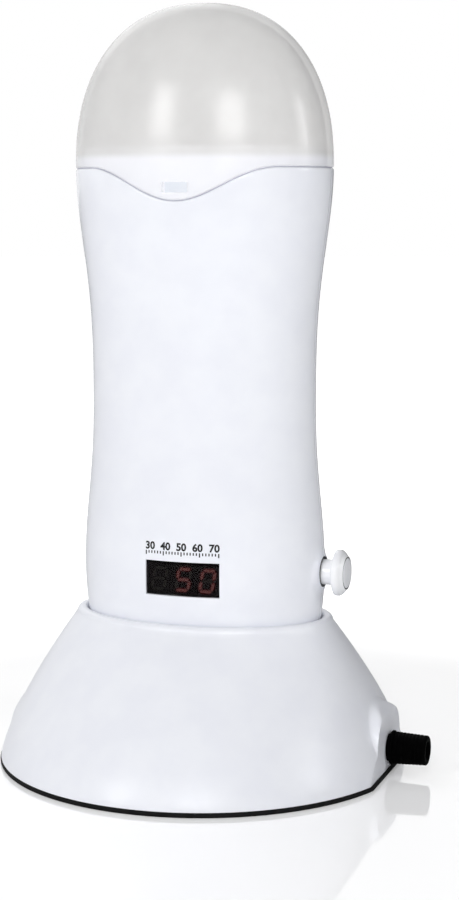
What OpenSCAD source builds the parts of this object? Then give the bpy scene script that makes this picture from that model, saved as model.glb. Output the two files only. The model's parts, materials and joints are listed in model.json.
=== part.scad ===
/* [Handset] */
// Height of the handset's body, from its foot to the seam under the cap
body_h = 145; // [135:1:160]
// Width of the body at its hip, near the knob
hip_w = 75.4; // [72:0.2:80]
// Depth of the body at its hip
hip_d = 46.8; // [44:0.2:52]
// Height of the hip above the foot of the handset
hip_rise = 26.5; // [24:0.5:32]
// Width of the body at its waist
waist_w = 69.4; // [68:0.2:74]
// Height of the waist above the foot of the handset
waist_rise = 78.5; // [70:0.5:90]
// Width of the body at the seam under the cap
shoulder_w = 79.2; // [76:0.2:84]
// How far each side draws in from the hip to the foot
foot_taper = 3.2; // [1:0.1:4]
// Wall of the body's two shells
shell_wall = 2.4; // [1.8:0.1:2.8]

/* [Cap] */
// Height of the cap's dome above the seam
cap_h = 47.6; // [42:0.2:56]
// Roundness of the dome, where 2 is an ellipse and more is fuller
dome_power = 2.28; // [2:0.02:2.6]
// Wall of the cap
cap_wall = 1.9; // [1.4:0.1:2.1]
// How far the cap's tongue dips below the seam at the front
tongue_h = 9.6; // [7:0.2:11]
// Width over which the tongue dips
tongue_w = 58; // [48:1:66]
// Width of the window in the tongue
catch_w = 7.6; // [5:0.2:10]
// Height of the window in the tongue
catch_h = 2.9; // [2:0.1:3.5]
// Height of the window's middle above the tongue's lowest point
catch_rise = 3.7; // [3.2:0.1:4.5]

/* [Cartridge bay] */
// Width of the bay that takes the wax cartridge
bay_w = 54; // [48:0.5:56]
// Depth of the bay that takes the wax cartridge
bay_d = 31; // [27:0.5:32]
// Height of the bay's floor above the foot of the handset
bay_rise = 40.5; // [38:0.5:60]
// Wall of the heating chamber
chamber_wall = 1.2; // [0.8:0.1:1.5]
// Floor of the heating chamber
chamber_floor = 2; // [1.5:0.1:3]
// Height of the neck collar above the seam
neck_rise = 6; // [4:0.5:9]
// Depth of the neck collar below the seam
neck_drop = 14; // [12.5:0.5:18]
// Wall of the neck collar
neck_wall = 2; // [1.5:0.1:2.4]
// Thickness of the neck's deck and of the ledge that carries the neck
deck_t = 3; // [2.5:0.1:4]

/* [Display] */
// Width of the display's window
display_w = 22.5; // [20:0.1:24]
// Height of the display's window
display_h = 10; // [8:0.1:12]
// Height of the display's middle above the foot of the handset
display_rise = 25.5; // [23:0.1:27]
// How far the display lies to the right of the middle
display_x = 1.4; // [0:0.1:3]
// Depth of the display module behind its face
module_d = 6; // [4:0.1:7]
// Height of one digit
digit_h = 7; // [5:0.1:7.5]
// Spacing of the three digits
digit_pitch = 7.5; // [6:0.1:7.5]
// Width of one stroke of a digit
stroke_w = 0.95; // [0.6:0.05:1.1]
// Slant of the digits, in degrees
digit_slant = 10; // [0:1:12]

/* [Knob] */
// Height of the knob's axis above the foot of the handset
knob_rise = 25.9; // [23:0.1:28]
// Diameter of the knob's head
knob_d = 13.7; // [11:0.1:15]
// Thickness of the knob's head
knob_t = 3.4; // [3:0.1:5]
// Diameter of the knob's stem
stem_d = 7.6; // [7:0.1:8.4]
// Gap from the side of the body to the back of the head
knob_gap = 4.1; // [2:0.1:6]
// Diameter of the disc let into the knob's face
face_d = 8.9; // [7:0.1:9.2]
// Diameter of the control's shaft
shaft_d = 5; // [4:0.1:5.2]
// Gap round the stem where it leaves the body
stem_gap = 0.9; // [0.5:0.05:1.5]

/* [Circuit board] */
// Width of the circuit board
board_w = 44; // [38:0.5:45]
// Height of the circuit board
board_h = 24; // [22:0.5:25]
// Thickness of the circuit board
board_t = 1.6; // [1:0.1:2]

/* [Base] */
// Height of the base's rim above the surface it stands on
base_h = 45.5; // [42:0.5:55]
// Radius of the foot of the base
foot_r = 62; // [58:0.5:72]
// Width of the rim outside the seat, at its outer edge
rim_w = 3; // [2:0.1:5]
// Height of the rim's rounded edge
rim_round = 1.6; // [1:0.1:2.5]
// Fullness of the base's slope, where 1 is straight
slope_power = 1.35; // [1.1:0.05:1.6]
// Depth that the handset sits in the base
seat_h = 12; // [9:0.5:14]
// Clearance round the handset in its seat
seat_gap = 0.6; // [0.4:0.1:1]
// Wall of the base
base_wall = 2.4; // [2:0.1:3]
// Thickness of the pad under the base
pad_t = 1.5; // [1:0.1:3]
// Thickness of the plate that closes the base
plate_t = 2.6; // [2.2:0.1:3.5]
// Half width of the bosses at the two sides of the base
boss_r = 13; // [10:0.5:15]
// Height of the right boss, which carries the gland
boss_h = 22; // [20:0.5:25]
// Height of the left boss
left_boss_h = 20; // [18:0.5:25]
// How far the flat across the right boss lies inside the foot's radius
flat_in = 3.5; // [2.5:0.1:5]

/* [Power] */
// Diameter of the contact pins
pin_d = 3.5; // [3:0.1:4]
// Spacing of the two contact pins
pin_pitch = 14; // [12:0.5:16]
// Height of the pins above the seat's floor
pin_h = 7.5; // [6:0.1:8.5]
// Diameter of the cord's hole in the gland
cord_d = 5.2; // [4:0.1:5.6]
// Diameter of the gland's barrel at its root
gland_d = 10.2; // [9:0.1:11]
// Length of the gland outside the base
gland_l = 11.8; // [8:0.1:15]
// Height of the gland's axis above the surface
gland_z = 7.7; // [7.6:0.1:9]

/* [Hidden] */
$fn = 48;

// Clearances between pieces
slip = 0.05;        // radial gap of a shaft in its bearing
press = 0.02;       // radial gap of a piece that is pressed in
seam_gap = 0.3;     // gap along the seams between cap and body
fit_gap = 0.15;     // gap round a piece that drops into its place
far = 200;          // longer than any piece, for cuts that run right through

// Heights above the surface that the base stands on
handset_z = base_h - seat_h;
hip_z = handset_z + hip_rise;
waist_z = handset_z + waist_rise;
seam_z = handset_z + body_h;
knob_z = handset_z + knob_rise;
display_z = handset_z + display_rise;
bay_z = handset_z + bay_rise;
plate_z = pad_t + plate_t;
tongue_z = seam_z - tongue_h;
catch_z = tongue_z + catch_rise;
neck_z = seam_z - neck_drop;
neck_top = seam_z + neck_rise;
deck_top = seam_z - 0.5;
deck_z = deck_top - deck_t;

// The oval section is the same shape at every height
section_ratio = hip_d / hip_w;
sides = 48;
hip_ease = 1.25;
shoulder_ease = 1.45;

function ease(share, power) = pow(sin(90 * pow(share, power)), 2);

// How far the body swells out from its waist to the hip and to the shoulder
hip_swell = (hip_w - waist_w) / 2;
shoulder_swell = (shoulder_w - waist_w) / 2;

// Half width of the handset's outside at height z
function half_w(z) =
    z < hip_z ? hip_w / 2 - foot_taper * pow((hip_z - z) / hip_rise, 2)
    : z < waist_z ? waist_w / 2 + hip_swell * ease((waist_z - z) / (waist_z - hip_z), hip_ease)
    : z < seam_z ? waist_w / 2 + shoulder_swell * ease((z - waist_z) / (seam_z - waist_z), shoulder_ease)
    : shoulder_w / 2 * pow(1 - pow((z - seam_z) / cap_h, dome_power), 1 / dome_power);

function half_d(z) = half_w(z) * section_ratio;

// One ring of an oval loft, anticlockwise seen from above
function oval(a, b, z) = [for (i = [0:sides - 1]) [a * cos(360 * i / sides), b * sin(360 * i / sides), z]];

// Rings of the handset's body from z0 to z1, drawn in by inset
function body_rings(z0, z1, inset, steps) =
    [for (k = [0:steps]) let (z = z0 + (z1 - z0) * k / steps) oval(half_w(z) - inset, half_d(z) - inset, z)];

// Rings of the cap's dome, drawn in by inset, up to the small flat at its top
dome_end = 88;
dome_steps = 14;
function dome_rings(inset) =
    [for (k = [0:dome_steps])
        let (turn = dome_end * k / dome_steps,
             across = pow(cos(turn), 2 / dome_power),
             up = pow(sin(turn), 2 / dome_power))
        oval((shoulder_w / 2 - inset) * across, (shoulder_w / 2 * section_ratio - inset) * across,
             seam_z + (cap_h - inset) * up)];

// Closed solid through a stack of rings that all have as many points
module loft(rings) {
    n = len(rings[0]);
    m = len(rings);
    polyhedron(
        points = [for (ring = rings) each ring],
        faces = concat(
            [[for (i = [0:n - 1]) i]],
            [for (k = [0:m - 2], i = [0:n - 1]) [k * n + i, (k + 1) * n + i, (k + 1) * n + (i + 1) % n]],
            [for (k = [0:m - 2], i = [0:n - 1]) [k * n + i, (k + 1) * n + (i + 1) % n, k * n + (i + 1) % n]],
            [[for (i = [n - 1:-1:0]) (m - 1) * n + i]]));
}

module oval_2d(a, b) {
    polygon([for (i = [0:sides - 1]) [a * cos(360 * i / sides), b * sin(360 * i / sides)]]);
}

module oval_prism(a, b, z0, z1) {
    translate([0, 0, z0]) linear_extrude(z1 - z0) oval_2d(a, b);
}

module box(low, high) {
    translate(low) cube(high - low);
}

// Cylinder along Y from y0 to y1 at (x, z)
module rod_y(x, z, r, y0, y1) {
    translate([x, y1, z]) rotate([90, 0, 0]) cylinder(r = r, h = y1 - y0);
}

// Cylinder along X from x0 to x1 at (y, z)
module rod_x(y, z, r, x0, x1) {
    translate([x0, y, z]) rotate([0, 90, 0]) cylinder(r = r, h = x1 - x0);
}

module rod_z(x, y, r, z0, z1) {
    translate([x, y, z0]) cylinder(r = r, h = z1 - z0);
}

// Round tube through route, for the leads inside
lead_r = 0.8;
lead_sides = 6;
bend_steps = 4;
function unit(v) = v / norm(v);
// Points of one smooth stretch between p1 and p2, with p0 and p3 as its neighbours
function stretch(p0, p1, p2, p3, t) =
    0.5 * ((2 * p1) + (p2 - p0) * t + (2 * p0 - 5 * p1 + 4 * p2 - p3) * t * t
        + (3 * p1 - p0 - 3 * p2 + p3) * t * t * t);
function smooth(p) =
    concat([for (k = [0:len(p) - 2], j = [0:bend_steps - 1])
        stretch(p[max(k - 1, 0)], p[k], p[k + 1], p[min(k + 2, len(p) - 1)], j / bend_steps)],
        [p[len(p) - 1]]);

// The rings stay square to the route, and side is a direction the route never takes
function lead_ring(p, heading, side) =
    let (u = unit(cross(heading, side)), v = cross(heading, u))
    [for (i = [0:lead_sides - 1])
        let (turn = 360 * i / lead_sides)
        p + lead_r * (cos(turn) * u + sin(turn) * v)];

// The end rings stand square to the route's own first and last steps
module lead(route, side) {
    path = smooth(route);
    last = len(path) - 1;
    end = len(route) - 1;
    headings = [for (k = [0:last])
        k == 0 ? unit(route[1] - route[0])
        : k == last ? unit(route[end] - route[end - 1])
        : unit(path[k + 1] - path[k - 1])];
    loft([for (k = [0:last]) lead_ring(path[k], headings[k], side)]);
}

module at_both_sides() {
    children();
    mirror([1, 0, 0]) children();
}

// Screws: head radius, head height and shank radius
head_r = 2;
head_h = 1.5;
shank_r = 1.1;

// Screw whose head's underside is at the origin, with its shank along -Z
module screw(length) {
    difference() {
        union() {
            cylinder(r = head_r, h = head_h);
            translate([0, 0, -length]) cylinder(r = shank_r, h = length + head_h / 2);
        }
        translate([0, 0, head_h / 2]) {
            box([-head_r * 0.6, -0.25, 0], [head_r * 0.6, 0.25, head_h]);
            box([-0.25, -head_r * 0.6, 0], [0.25, head_r * 0.6, head_h]);
        }
    }
}

// Handset shells ------------------------------------------------------------

floor_t = shell_wall;
body_steps = 12;
ledge_w = neck_wall + 0.6;
ledge_z = neck_z - 2;

// The wave of the seam: the tongue dips in the middle of the front
wave_steps = 24;
function wave_z(x) = seam_z - tongue_h * (1 + cos(360 * x / tongue_w)) / 2;

// Everything below the seam, lowered by drop, in front and behind
module below_seam(drop) {
    rotate([90, 0, 0]) linear_extrude(far) polygon(concat(
        [[-far, 0], [-far, seam_z - drop]],
        [for (k = [0:wave_steps]) let (x = tongue_w * (k / wave_steps - 0.5)) [x, wave_z(x) - drop]],
        [[far, seam_z - drop], [far, 0]]));
    box([-far, 0, 0], [far, far, seam_z - drop]);
}

// Screws that hold the two shells together
low_screw_rise = 7.5;
high_screw_drop = 8;
low_screw = [27, handset_z + low_screw_rise];
high_screw = [31.5, neck_z - high_screw_drop];
shell_boss_r = 3;
shell_seat_y = 3;
shell_screw_l = 9;

module shell_bosses(r, y0, y1) {
    at_both_sides() {
        rod_y(low_screw.x, low_screw.y, r, y0, y1);
        rod_y(high_screw.x, high_screw.y, r, y0, y1);
    }
}

module body_solid(inset, steps) {
    loft(body_rings(handset_z + inset, seam_z, inset, steps));
}

module body_hollow() {
    loft(body_rings(handset_z + floor_t, ledge_z, shell_wall, body_steps));
    loft(body_rings(ledge_z - 1, neck_z + 1, shell_wall + ledge_w, 2));
    loft(body_rings(neck_z, seam_z + 1, shell_wall, 4));
}

socket_w = 24;
socket_d = 10;
socket_h = 10;
socket_lip = 1.6;
socket_lip_t = 2;

// What is cut from both shells: the knob's hole and the opening for the socket block
module shell_openings() {
    rod_x(0, knob_z, stem_d / 2 + stem_gap, hip_w / 4, far);
    box([-socket_w / 2 - fit_gap, -socket_d / 2 - fit_gap, 0],
        [socket_w / 2 + fit_gap, socket_d / 2 + fit_gap, handset_z + floor_t + 1]);
}

// The board stands behind the display, and its bosses reach back from the front shell
module_y = -half_d(display_z) + shell_wall + 1.3;
board_y = module_y + module_d;
rear_y = board_y + board_t;
board_drop = 3.2;   // how far the board's top lies below the display's middle
board_screw_in = [3.5, 3];
board_z = display_z - board_h / 2 - board_drop;
board_screw = [board_w / 2 - board_screw_in.x, board_h / 2 - board_screw_in.y];
board_boss_r = 2.6;
board_screw_l = 5;

// Two screws at the bottom of the board and one at its top, clear of the control
module at_board_screws() {
    for (place = [[-1, -1], [1, -1], [-1, 1]])
        translate([place.x * board_screw.x, board_y, board_z + board_h / 2 + place.y * board_screw.y])
            children();
}

module front_shell() {
    color("white") difference() {
        union() {
            difference() {
                intersection() {
                    body_solid(0, body_steps);
                    below_seam(seam_gap);
                }
                body_hollow();
                box([-far, 0, 0], [far, far, far * 2]);
            }
            intersection() {
                union() {
                    shell_bosses(shell_boss_r, -far, 0);
                    at_board_screws() rotate([90, 0, 0]) cylinder(r = board_boss_r, h = far);
                }
                body_solid(shell_wall / 2, 6);
            }
        }
        shell_openings();
        shell_bosses(shank_r + press, -shell_screw_l + shell_seat_y - 1, 1);
        at_board_screws() rotate([90, 0, 0]) cylinder(r = shank_r + press, h = board_screw_l - board_t + 0.5);
        box([display_x - display_w / 2 - fit_gap, -far, display_z - display_h / 2 - fit_gap],
            [display_x + display_w / 2 + fit_gap, module_y + 1, display_z + display_h / 2 + fit_gap]);
    }
}

module rear_shell() {
    color("white") difference() {
        union() {
            difference() {
                intersection() {
                    body_solid(0, body_steps);
                    below_seam(seam_gap);
                }
                body_hollow();
                box([-far, -far, 0], [far, 0, far * 2]);
            }
            intersection() {
                shell_bosses(shell_boss_r, 0, far);
                body_solid(shell_wall / 2, 6);
            }
        }
        shell_openings();
        shell_bosses(shank_r + fit_gap, -1, shell_seat_y + 1);
        shell_bosses(head_r + fit_gap, shell_seat_y, far);
    }
}

module shell_screws() {
    color("silver") at_both_sides() for (place = [low_screw, high_screw])
        translate([place.x, shell_seat_y, place.y]) rotate([-90, 0, 0]) screw(shell_screw_l);
}

// Neck, cap and catch -------------------------------------------------------

neck_in = shell_wall + 0.1;
neck_a = half_w(neck_z) - neck_in;
chamber_a = bay_w / 2 + chamber_wall;
chamber_b = bay_d / 2 + chamber_wall;
flange_w = 4.6;
flange_t = 1.2;
flange_gap = 1.2;   // from the flange's front and back to the inside of the neck
flange_b = half_d(deck_z) - neck_in - neck_wall - flange_gap - chamber_b;
chamber_screw_x = chamber_a + flange_w / 2;
lug_t = 1.2;

module neck_collar() {
    color("white") difference() {
        loft(body_rings(neck_z, neck_top, neck_in, 6));
        loft(body_rings(neck_z - 1, deck_z, neck_in + neck_wall, 4));
        loft(body_rings(deck_top, neck_top + 1, neck_in + neck_wall, 3));
        oval_prism(bay_w / 2, bay_d / 2, deck_z - 1, deck_top + 1);
        at_both_sides() rod_z(chamber_screw_x, 0, shank_r + press, deck_z - 1, deck_top - 0.6);
        catch_space(fit_gap);
    }
}

// The place of the catch in the front of the neck
module catch_space(gap) {
    front = -half_d(catch_z) + neck_in;
    box([-catch_w / 2 - gap, front - 1 + gap, catch_z - catch_h / 2 - gap],
        [catch_w / 2 + gap, front + lug_t + gap, catch_z + catch_h / 2 + gap]);
}

module catch_lug() {
    color("lightsteelblue") intersection() {
        catch_space(0);
        loft(body_rings(catch_z - catch_h, catch_z + catch_h, neck_in - 0.1, 2));
    }
}

module cap() {
    color("gainsboro", 0.7) difference() {
        union() {
            loft(body_rings(tongue_z - 1, seam_z, 0, 4));
            loft(dome_rings(0));
        }
        loft(body_rings(tongue_z - 2, seam_z + 0.01, cap_wall, 4));
        loft(dome_rings(cap_wall));
        below_seam(0);
        box([-catch_w / 2 - 0.2, -far, catch_z - catch_h / 2 - 0.2],
            [catch_w / 2 + 0.2, 0, catch_z + catch_h / 2 + 0.2]);
    }
}

// Heating -------------------------------------------------------------------

chamber_z = bay_z - chamber_floor;
heater_size = [30, 15, 3];
heater_post = [20.5, 2.5];
clamp_size = [48, 12, 1.2];
heater_z = chamber_z - heater_size.z;
clamp_z = heater_z - clamp_size.z;

module heating_chamber() {
    color("silver") difference() {
        union() {
            oval_prism(chamber_a, chamber_b, chamber_z, deck_z);
            oval_prism(chamber_a + flange_w, chamber_b + flange_b, deck_z - flange_t, deck_z);
            at_both_sides() rod_z(heater_post.x, 0, heater_post.y, heater_z, chamber_z + 0.5);
        }
        oval_prism(bay_w / 2, bay_d / 2, bay_z, deck_z + 1);
        at_both_sides() {
            rod_z(chamber_screw_x, 0, shank_r + fit_gap, deck_z - flange_t - 1, deck_z + 1);
            rod_z(heater_post.x, 0, shank_r + press, heater_z - 1, bay_z - 0.8);
        }
    }
}

module chamber_screws() {
    color("silver") at_both_sides()
        translate([chamber_screw_x, 0, deck_z - flange_t]) mirror([0, 0, 1]) screw(flange_t + deck_t - 0.7);
}

module heater_block() {
    color("darkgray") box([-heater_size.x / 2, -heater_size.y / 2, heater_z],
        [heater_size.x / 2, heater_size.y / 2, chamber_z]);
}

module heater_clamp() {
    color("silver") difference() {
        box([-clamp_size.x / 2, -clamp_size.y / 2, clamp_z], [clamp_size.x / 2, clamp_size.y / 2, heater_z]);
        at_both_sides() rod_z(heater_post.x, 0, shank_r + fit_gap, clamp_z - 1, heater_z + 1);
    }
}

module heater_screws() {
    color("silver") at_both_sides()
        translate([heater_post.x, 0, clamp_z]) mirror([0, 0, 1]) screw(chamber_z - clamp_z);
}

fuse_r = 2;
fuse_l = 11;
fuse_wire_r = 0.4;
fuse_wire_l = 6;
fuse_gap = 1.2;     // from the heater's side to the fuse
side_y = heater_size.y / 2 + fuse_r + fuse_gap;

module thermal_fuse() {
    color("silver") {
        rod_x(side_y, chamber_z - fuse_r - press, fuse_r, -fuse_l / 2, fuse_l / 2);
        rod_x(side_y, chamber_z - fuse_r - press, fuse_wire_r, -fuse_l / 2 - fuse_wire_l, fuse_l / 2 + fuse_wire_l);
    }
}

sensor_r = 1.4;
sensor_l = 8;

module temperature_sensor() {
    color("goldenrod") rod_x(-side_y, chamber_z - sensor_r - press, sensor_r, -sensor_l / 2, sensor_l / 2);
}

// Leads run straight for a step where they meet a piece
lead_step = lead_r * 2;
heater_lead_x = 11.5;
heater_lead_z = heater_z + heater_size.z / 2;
board_lead_drop = 2;
board_lead_z = board_z + board_h - board_lead_drop;
lead_bow = 0.6;     // how far a lead bows out before it turns in

module heater_leads() {
    color("firebrick") at_both_sides() lead([
        [heater_lead_x, rear_y, board_lead_z],
        [heater_lead_x, rear_y + lead_step, board_lead_z],
        [heater_lead_x, -heater_size.y / 2 - lead_step - lead_bow, (board_lead_z + heater_lead_z) / 2],
        [heater_lead_x, -heater_size.y / 2 - lead_step, heater_lead_z],
        [heater_lead_x, -heater_size.y / 2, heater_lead_z]], [1, 0, 0]);
}

// Board and display ---------------------------------------------------------

module control_board() {
    color("seagreen") difference() {
        box([-board_w / 2, board_y, board_z], [board_w / 2, board_y + board_t, board_z + board_h]);
        at_board_screws() translate([0, board_t + 1, 0]) rotate([90, 0, 0])
            cylinder(r = shank_r + fit_gap, h = board_t + 2);
    }
}

module board_screws() {
    color("silver") at_board_screws() translate([0, board_t, 0]) rotate([-90, 0, 0]) screw(board_screw_l);
}

module display_module() {
    color("dimgray") box([display_x - display_w / 2, module_y, display_z - display_h / 2],
        [display_x + display_w / 2, board_y, display_z + display_h / 2]);
}

// Strokes of a seven-stroke digit, as [x, z, lies flat], in half digits
digit_w = digit_h * 0.66;
digit_t = 0.2;
strokes = [[0, 1, true], [1, 0.5, false], [1, -0.5, false], [0, -1, true],
    [-1, -0.5, false], [-1, 0.5, false], [0, 0, true]];
shown_five = [0, 5, 6, 2, 3];
shown_zero = [0, 1, 2, 3, 4, 5];

module stroke(place) {
    reach = (place[2] ? digit_w : digit_h / 2) - stroke_w - 0.25;
    translate([place.x * (digit_w - stroke_w) / 2, place.y * (digit_h - stroke_w) / 2])
        rotate(place[2] ? 0 : 90)
            polygon([[-reach / 2 - stroke_w / 2, 0], [-reach / 2, stroke_w / 2], [reach / 2, stroke_w / 2],
                [reach / 2 + stroke_w / 2, 0], [reach / 2, -stroke_w / 2], [-reach / 2, -stroke_w / 2]]);
}

// A digit at the given place of the three, made of the listed strokes
module digit(place, shown) {
    translate([display_x + (place - 1) * digit_pitch, module_y, display_z]) rotate([90, 0, 0]) linear_extrude(digit_t)
        multmatrix([[1, tan(digit_slant), 0, 0], [0, 1, 0, 0], [0, 0, 1, 0], [0, 0, 0, 1]])
            for (k = shown) stroke(strokes[k]);
}

module lit_digits() {
    color("red") {
        digit(1, shown_five);
        digit(2, shown_zero);
    }
}

module unlit_digit() {
    color("gray") digit(0, [for (k = [0:len(strokes) - 1]) k]);
}

module display_window() {
    color("black", 0.6) intersection() {
        loft(body_rings(display_z - display_h, display_z + display_h, 0.2, 2));
        box([display_x - display_w / 2, -far, display_z - display_h / 2],
            [display_x + display_w / 2, module_y - digit_t - 0.1, display_z + display_h / 2]);
    }
}

relay_size = [15, 10, 12];
relay_x = -18;
relay_rise = 6;
relay_low = [relay_x, rear_y, board_z + relay_rise];

module relay() {
    color("royalblue") box(relay_low, relay_low + relay_size);
}

capacitor_r = 3.5;
capacitor_l = 11;
capacitor_x = 4;
capacitor_rise = 7;

module capacitor() {
    color("navy") rod_y(capacitor_x, board_z + capacitor_rise, capacitor_r, rear_y, rear_y + capacitor_l);
}

// Control and knob ----------------------------------------------------------

side_x = half_w(knob_z);
head_x = side_x + knob_gap;
knob_x = head_x + knob_t;
pot_size = [7, 12];
pot_x = board_w / 2 - pot_size.x;
bushing_l = 5;
shaft_in = 4;
shaft_r = shaft_d / 2;

module potentiometer() {
    color("slategray") difference() {
        union() {
            box([pot_x, rear_y, knob_z - pot_size.y / 2],
                [pot_x + pot_size.x, pot_size.y / 2, knob_z + pot_size.y / 2]);
            rod_x(0, knob_z, shaft_r + 1, pot_x + pot_size.x - 1, pot_x + pot_size.x + bushing_l);
        }
        rod_x(0, knob_z, shaft_r + slip, pot_x + pot_size.x - shaft_in, far);
    }
}

module control_shaft() {
    color("silver") rod_x(0, knob_z, shaft_r, pot_x + pot_size.x - shaft_in + 0.1, head_x + knob_t / 2);
}

head_flat = 1.6;
rim_in = 0.9;       // the head's front edge lies this far inside its rim
rim_drop = 0.9;     // and this far behind its face
head_slope = 1.7;
face_t = 1;
face_proud = 0.15;
groove_w = 0.35;

// The head narrows from its rim towards its face
module knob() {
    color("white") difference() {
        translate([0, 0, knob_z]) rotate([0, 90, 0]) rotate_extrude() polygon([
            [0, side_x - shell_wall - 1.5], [stem_d / 2, side_x - shell_wall - 1.5], [stem_d / 2, head_x],
            [knob_d / 2 - 0.4, head_x], [knob_d / 2, head_x + 0.4], [knob_d / 2, head_x + head_flat],
            [knob_d / 2 - rim_in, knob_x - rim_drop], [knob_d / 2 - head_slope, knob_x - 0.15],
            [knob_d / 2 - head_slope - 0.15, knob_x], [0, knob_x]]);
        rod_x(0, knob_z, shaft_r + press, 0, head_x + knob_t / 2 + 0.1);
        rod_x(0, knob_z, face_d / 2 + groove_w, knob_x - face_t, far);
    }
}

module knob_face() {
    color("gainsboro") rod_x(0, knob_z, face_d / 2, knob_x - face_t, knob_x + face_proud);
}

// Contacts ------------------------------------------------------------------

sleeve_t = 0.5;
sleeve_r = pin_d / 2 + 0.08 + sleeve_t;

module socket_block() {
    color("dimgray") difference() {
        union() {
            box([-socket_w / 2, -socket_d / 2, handset_z + seam_gap],
                [socket_w / 2, socket_d / 2, handset_z + socket_h]);
            box([-socket_w / 2 - socket_lip, -socket_d / 2 - socket_lip, handset_z + floor_t],
                [socket_w / 2 + socket_lip, socket_d / 2 + socket_lip, handset_z + floor_t + socket_lip_t]);
        }
        at_both_sides() {
            rod_z(pin_pitch / 2, 0, sleeve_r + press, handset_z, handset_z + socket_h - 0.8);
            rod_z(pin_pitch / 2, 0, 1, handset_z, handset_z + socket_h + 1);
        }
    }
}

module socket_sleeves() {
    color("goldenrod") at_both_sides() difference() {
        rod_z(pin_pitch / 2, 0, sleeve_r, handset_z + 0.6, handset_z + socket_h - 0.8);
        rod_z(pin_pitch / 2, 0, sleeve_r - sleeve_t, handset_z, handset_z + socket_h);
    }
}

supply_lead_x = 12.5;
supply_lead_rise = 3.6;
supply_lead_z = board_z + supply_lead_rise;
supply_lead_bow = 0.4;

module supply_leads() {
    color("saddlebrown") at_both_sides() lead([
        [pin_pitch / 2, 0, handset_z + socket_h],
        [pin_pitch / 2, 0, handset_z + socket_h + lead_step],
        [(pin_pitch / 2 + supply_lead_x) / 2, rear_y / 2, supply_lead_z + supply_lead_bow],
        [supply_lead_x, rear_y + lead_step, supply_lead_z],
        [supply_lead_x, rear_y, supply_lead_z]], [1, 0, 0.1]);
}

// Base ----------------------------------------------------------------------

rim_a = half_w(base_h) + seat_gap;
rim_b = half_d(base_h) + seat_gap;
slope_z = base_h - rim_round;
seat_floor = 2.4;
base_steps = 9;
flat_x = foot_r - flat_in;

// One ring of the base's outside at height z, drawn in by inset: oval at the rim, round at the foot
function base_ring(z, inset) =
    let (down = (slope_z - z) / (slope_z - pad_t),
         out = 1 - pow(max(0, 1 - down), slope_power),
         a = rim_a + rim_w + (foot_r - rim_a - rim_w) * out,
         b = rim_b + rim_w + (foot_r - rim_b - rim_w) * out)
    oval(a - inset, b - inset, z);

function base_rings(z0, z1, inset) =
    [for (k = [0:base_steps]) base_ring(z0 + (z1 - z0) * k / base_steps, inset)];

// The rounded rim above the slope
rim_steps = 4;
function rim_rings() =
    [for (k = [0:rim_steps]) let (turn = 90 * k / rim_steps)
        oval(rim_a + rim_w / 2 + rim_w / 2 * cos(turn), rim_b + rim_w / 2 + rim_w / 2 * cos(turn),
            slope_z + rim_round * sin(turn))];

// Arched boss along X, rounded over at its outer end
boss_bend = 20;
bend_z = 6;
boss_out = 0.4;     // how far the bend reaches past the foot, so that the two cross cleanly
left_boss_out = -1.4;
boss_inset = 0.2;   // how far the boss's foot lies inside the base's foot

module arch_2d(height) {
    intersection() {
        union() {
            translate([0, height - boss_r]) circle(boss_r);
            translate([-boss_r, 0]) square([boss_r * 2, height - boss_r]);
        }
        translate([-boss_r, pad_t]) square([boss_r * 2, height]);
    }
}

module bend_2d(height, out) {
    translate([foot_r + out - boss_bend, bend_z]) circle(boss_bend);
    square([foot_r + out, bend_z]);
    square([foot_r - boss_bend, height]);
}

module side_boss(height, out) {
    intersection() {
        translate([foot_r / 2, 0, 0]) rotate([90, 0, 90]) linear_extrude(far) arch_2d(height);
        translate([0, far / 2, 0]) rotate([90, 0, 0]) linear_extrude(far) bend_2d(height, out);
        rod_z(0, 0, foot_r - boss_inset, 0, far);
    }
}

// The seat is the handset's own outline with a gap round it
module seat_space() {
    loft(body_rings(handset_z, base_h + 2, -seat_gap, 7));
}

base_screw_r = 45;
post_r = 3.2;
base_screw_l = 9;
module at_base_screws() {
    for (turn = [45:90:315]) rotate(turn) translate([base_screw_r, 0, 0]) children();
}

plate_r = foot_r - base_wall - fit_gap;
inner_x = flat_x - base_wall;
gland_neck_r = gland_d / 2 - 1;
gland_stem_r = cord_d / 2 + 1.2;

module base_shell() {
    color("white") difference() {
        union() {
            difference() {
                union() {
                    loft(base_rings(pad_t, slope_z, 0));
                    loft(rim_rings());
                    side_boss(boss_h, boss_out);
                    mirror([1, 0, 0]) side_boss(left_boss_h, left_boss_out);
                }
                intersection() {
                    union() {
                        loft(base_rings(plate_z - 0.5, slope_z - base_wall, base_wall));
                        rod_z(0, 0, plate_r + fit_gap, 0, plate_z);
                    }
                    box([-far, -far, 0], [inner_x, far, far]);
                }
            }
            // seat, posts and their floor
            loft(body_rings(handset_z - seat_floor, slope_z, -seat_gap - base_wall, 4));
            intersection() {
                at_base_screws() rod_z(0, 0, post_r, plate_z, far);
                loft(base_rings(pad_t, slope_z, base_wall / 2));
            }
        }
        seat_space();
        at_both_sides() rod_z(pin_pitch / 2, 0, pin_d / 2 + fit_gap, 0, far);
        at_both_sides() rod_z(pin_block_screw_x, 0, shank_r + press, 0, handset_z - 0.6);
        at_base_screws() rod_z(0, 0, shank_r + press, 0, plate_z + base_screw_l);
        box([flat_x, -far, 0], [far, far, far]);
        rod_x(0, gland_z, gland_stem_r + fit_gap, 0, far);
        // flat seat for the gland's nut, where the wall curves in over it
        rod_x(0, gland_z, nut_r + fit_gap * 2, inner_x - nut_t * 2, inner_x);
    }
}

// Pin block under the seat's floor
pin_block_z = handset_z - seat_floor;
pin_block_size = [22, 12, 8];
pin_tail_z = pin_block_z - pin_block_size.z - 1;
pin_block_screw_x = 15;
ear_t = 3;
ear_r = 3.2;

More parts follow.
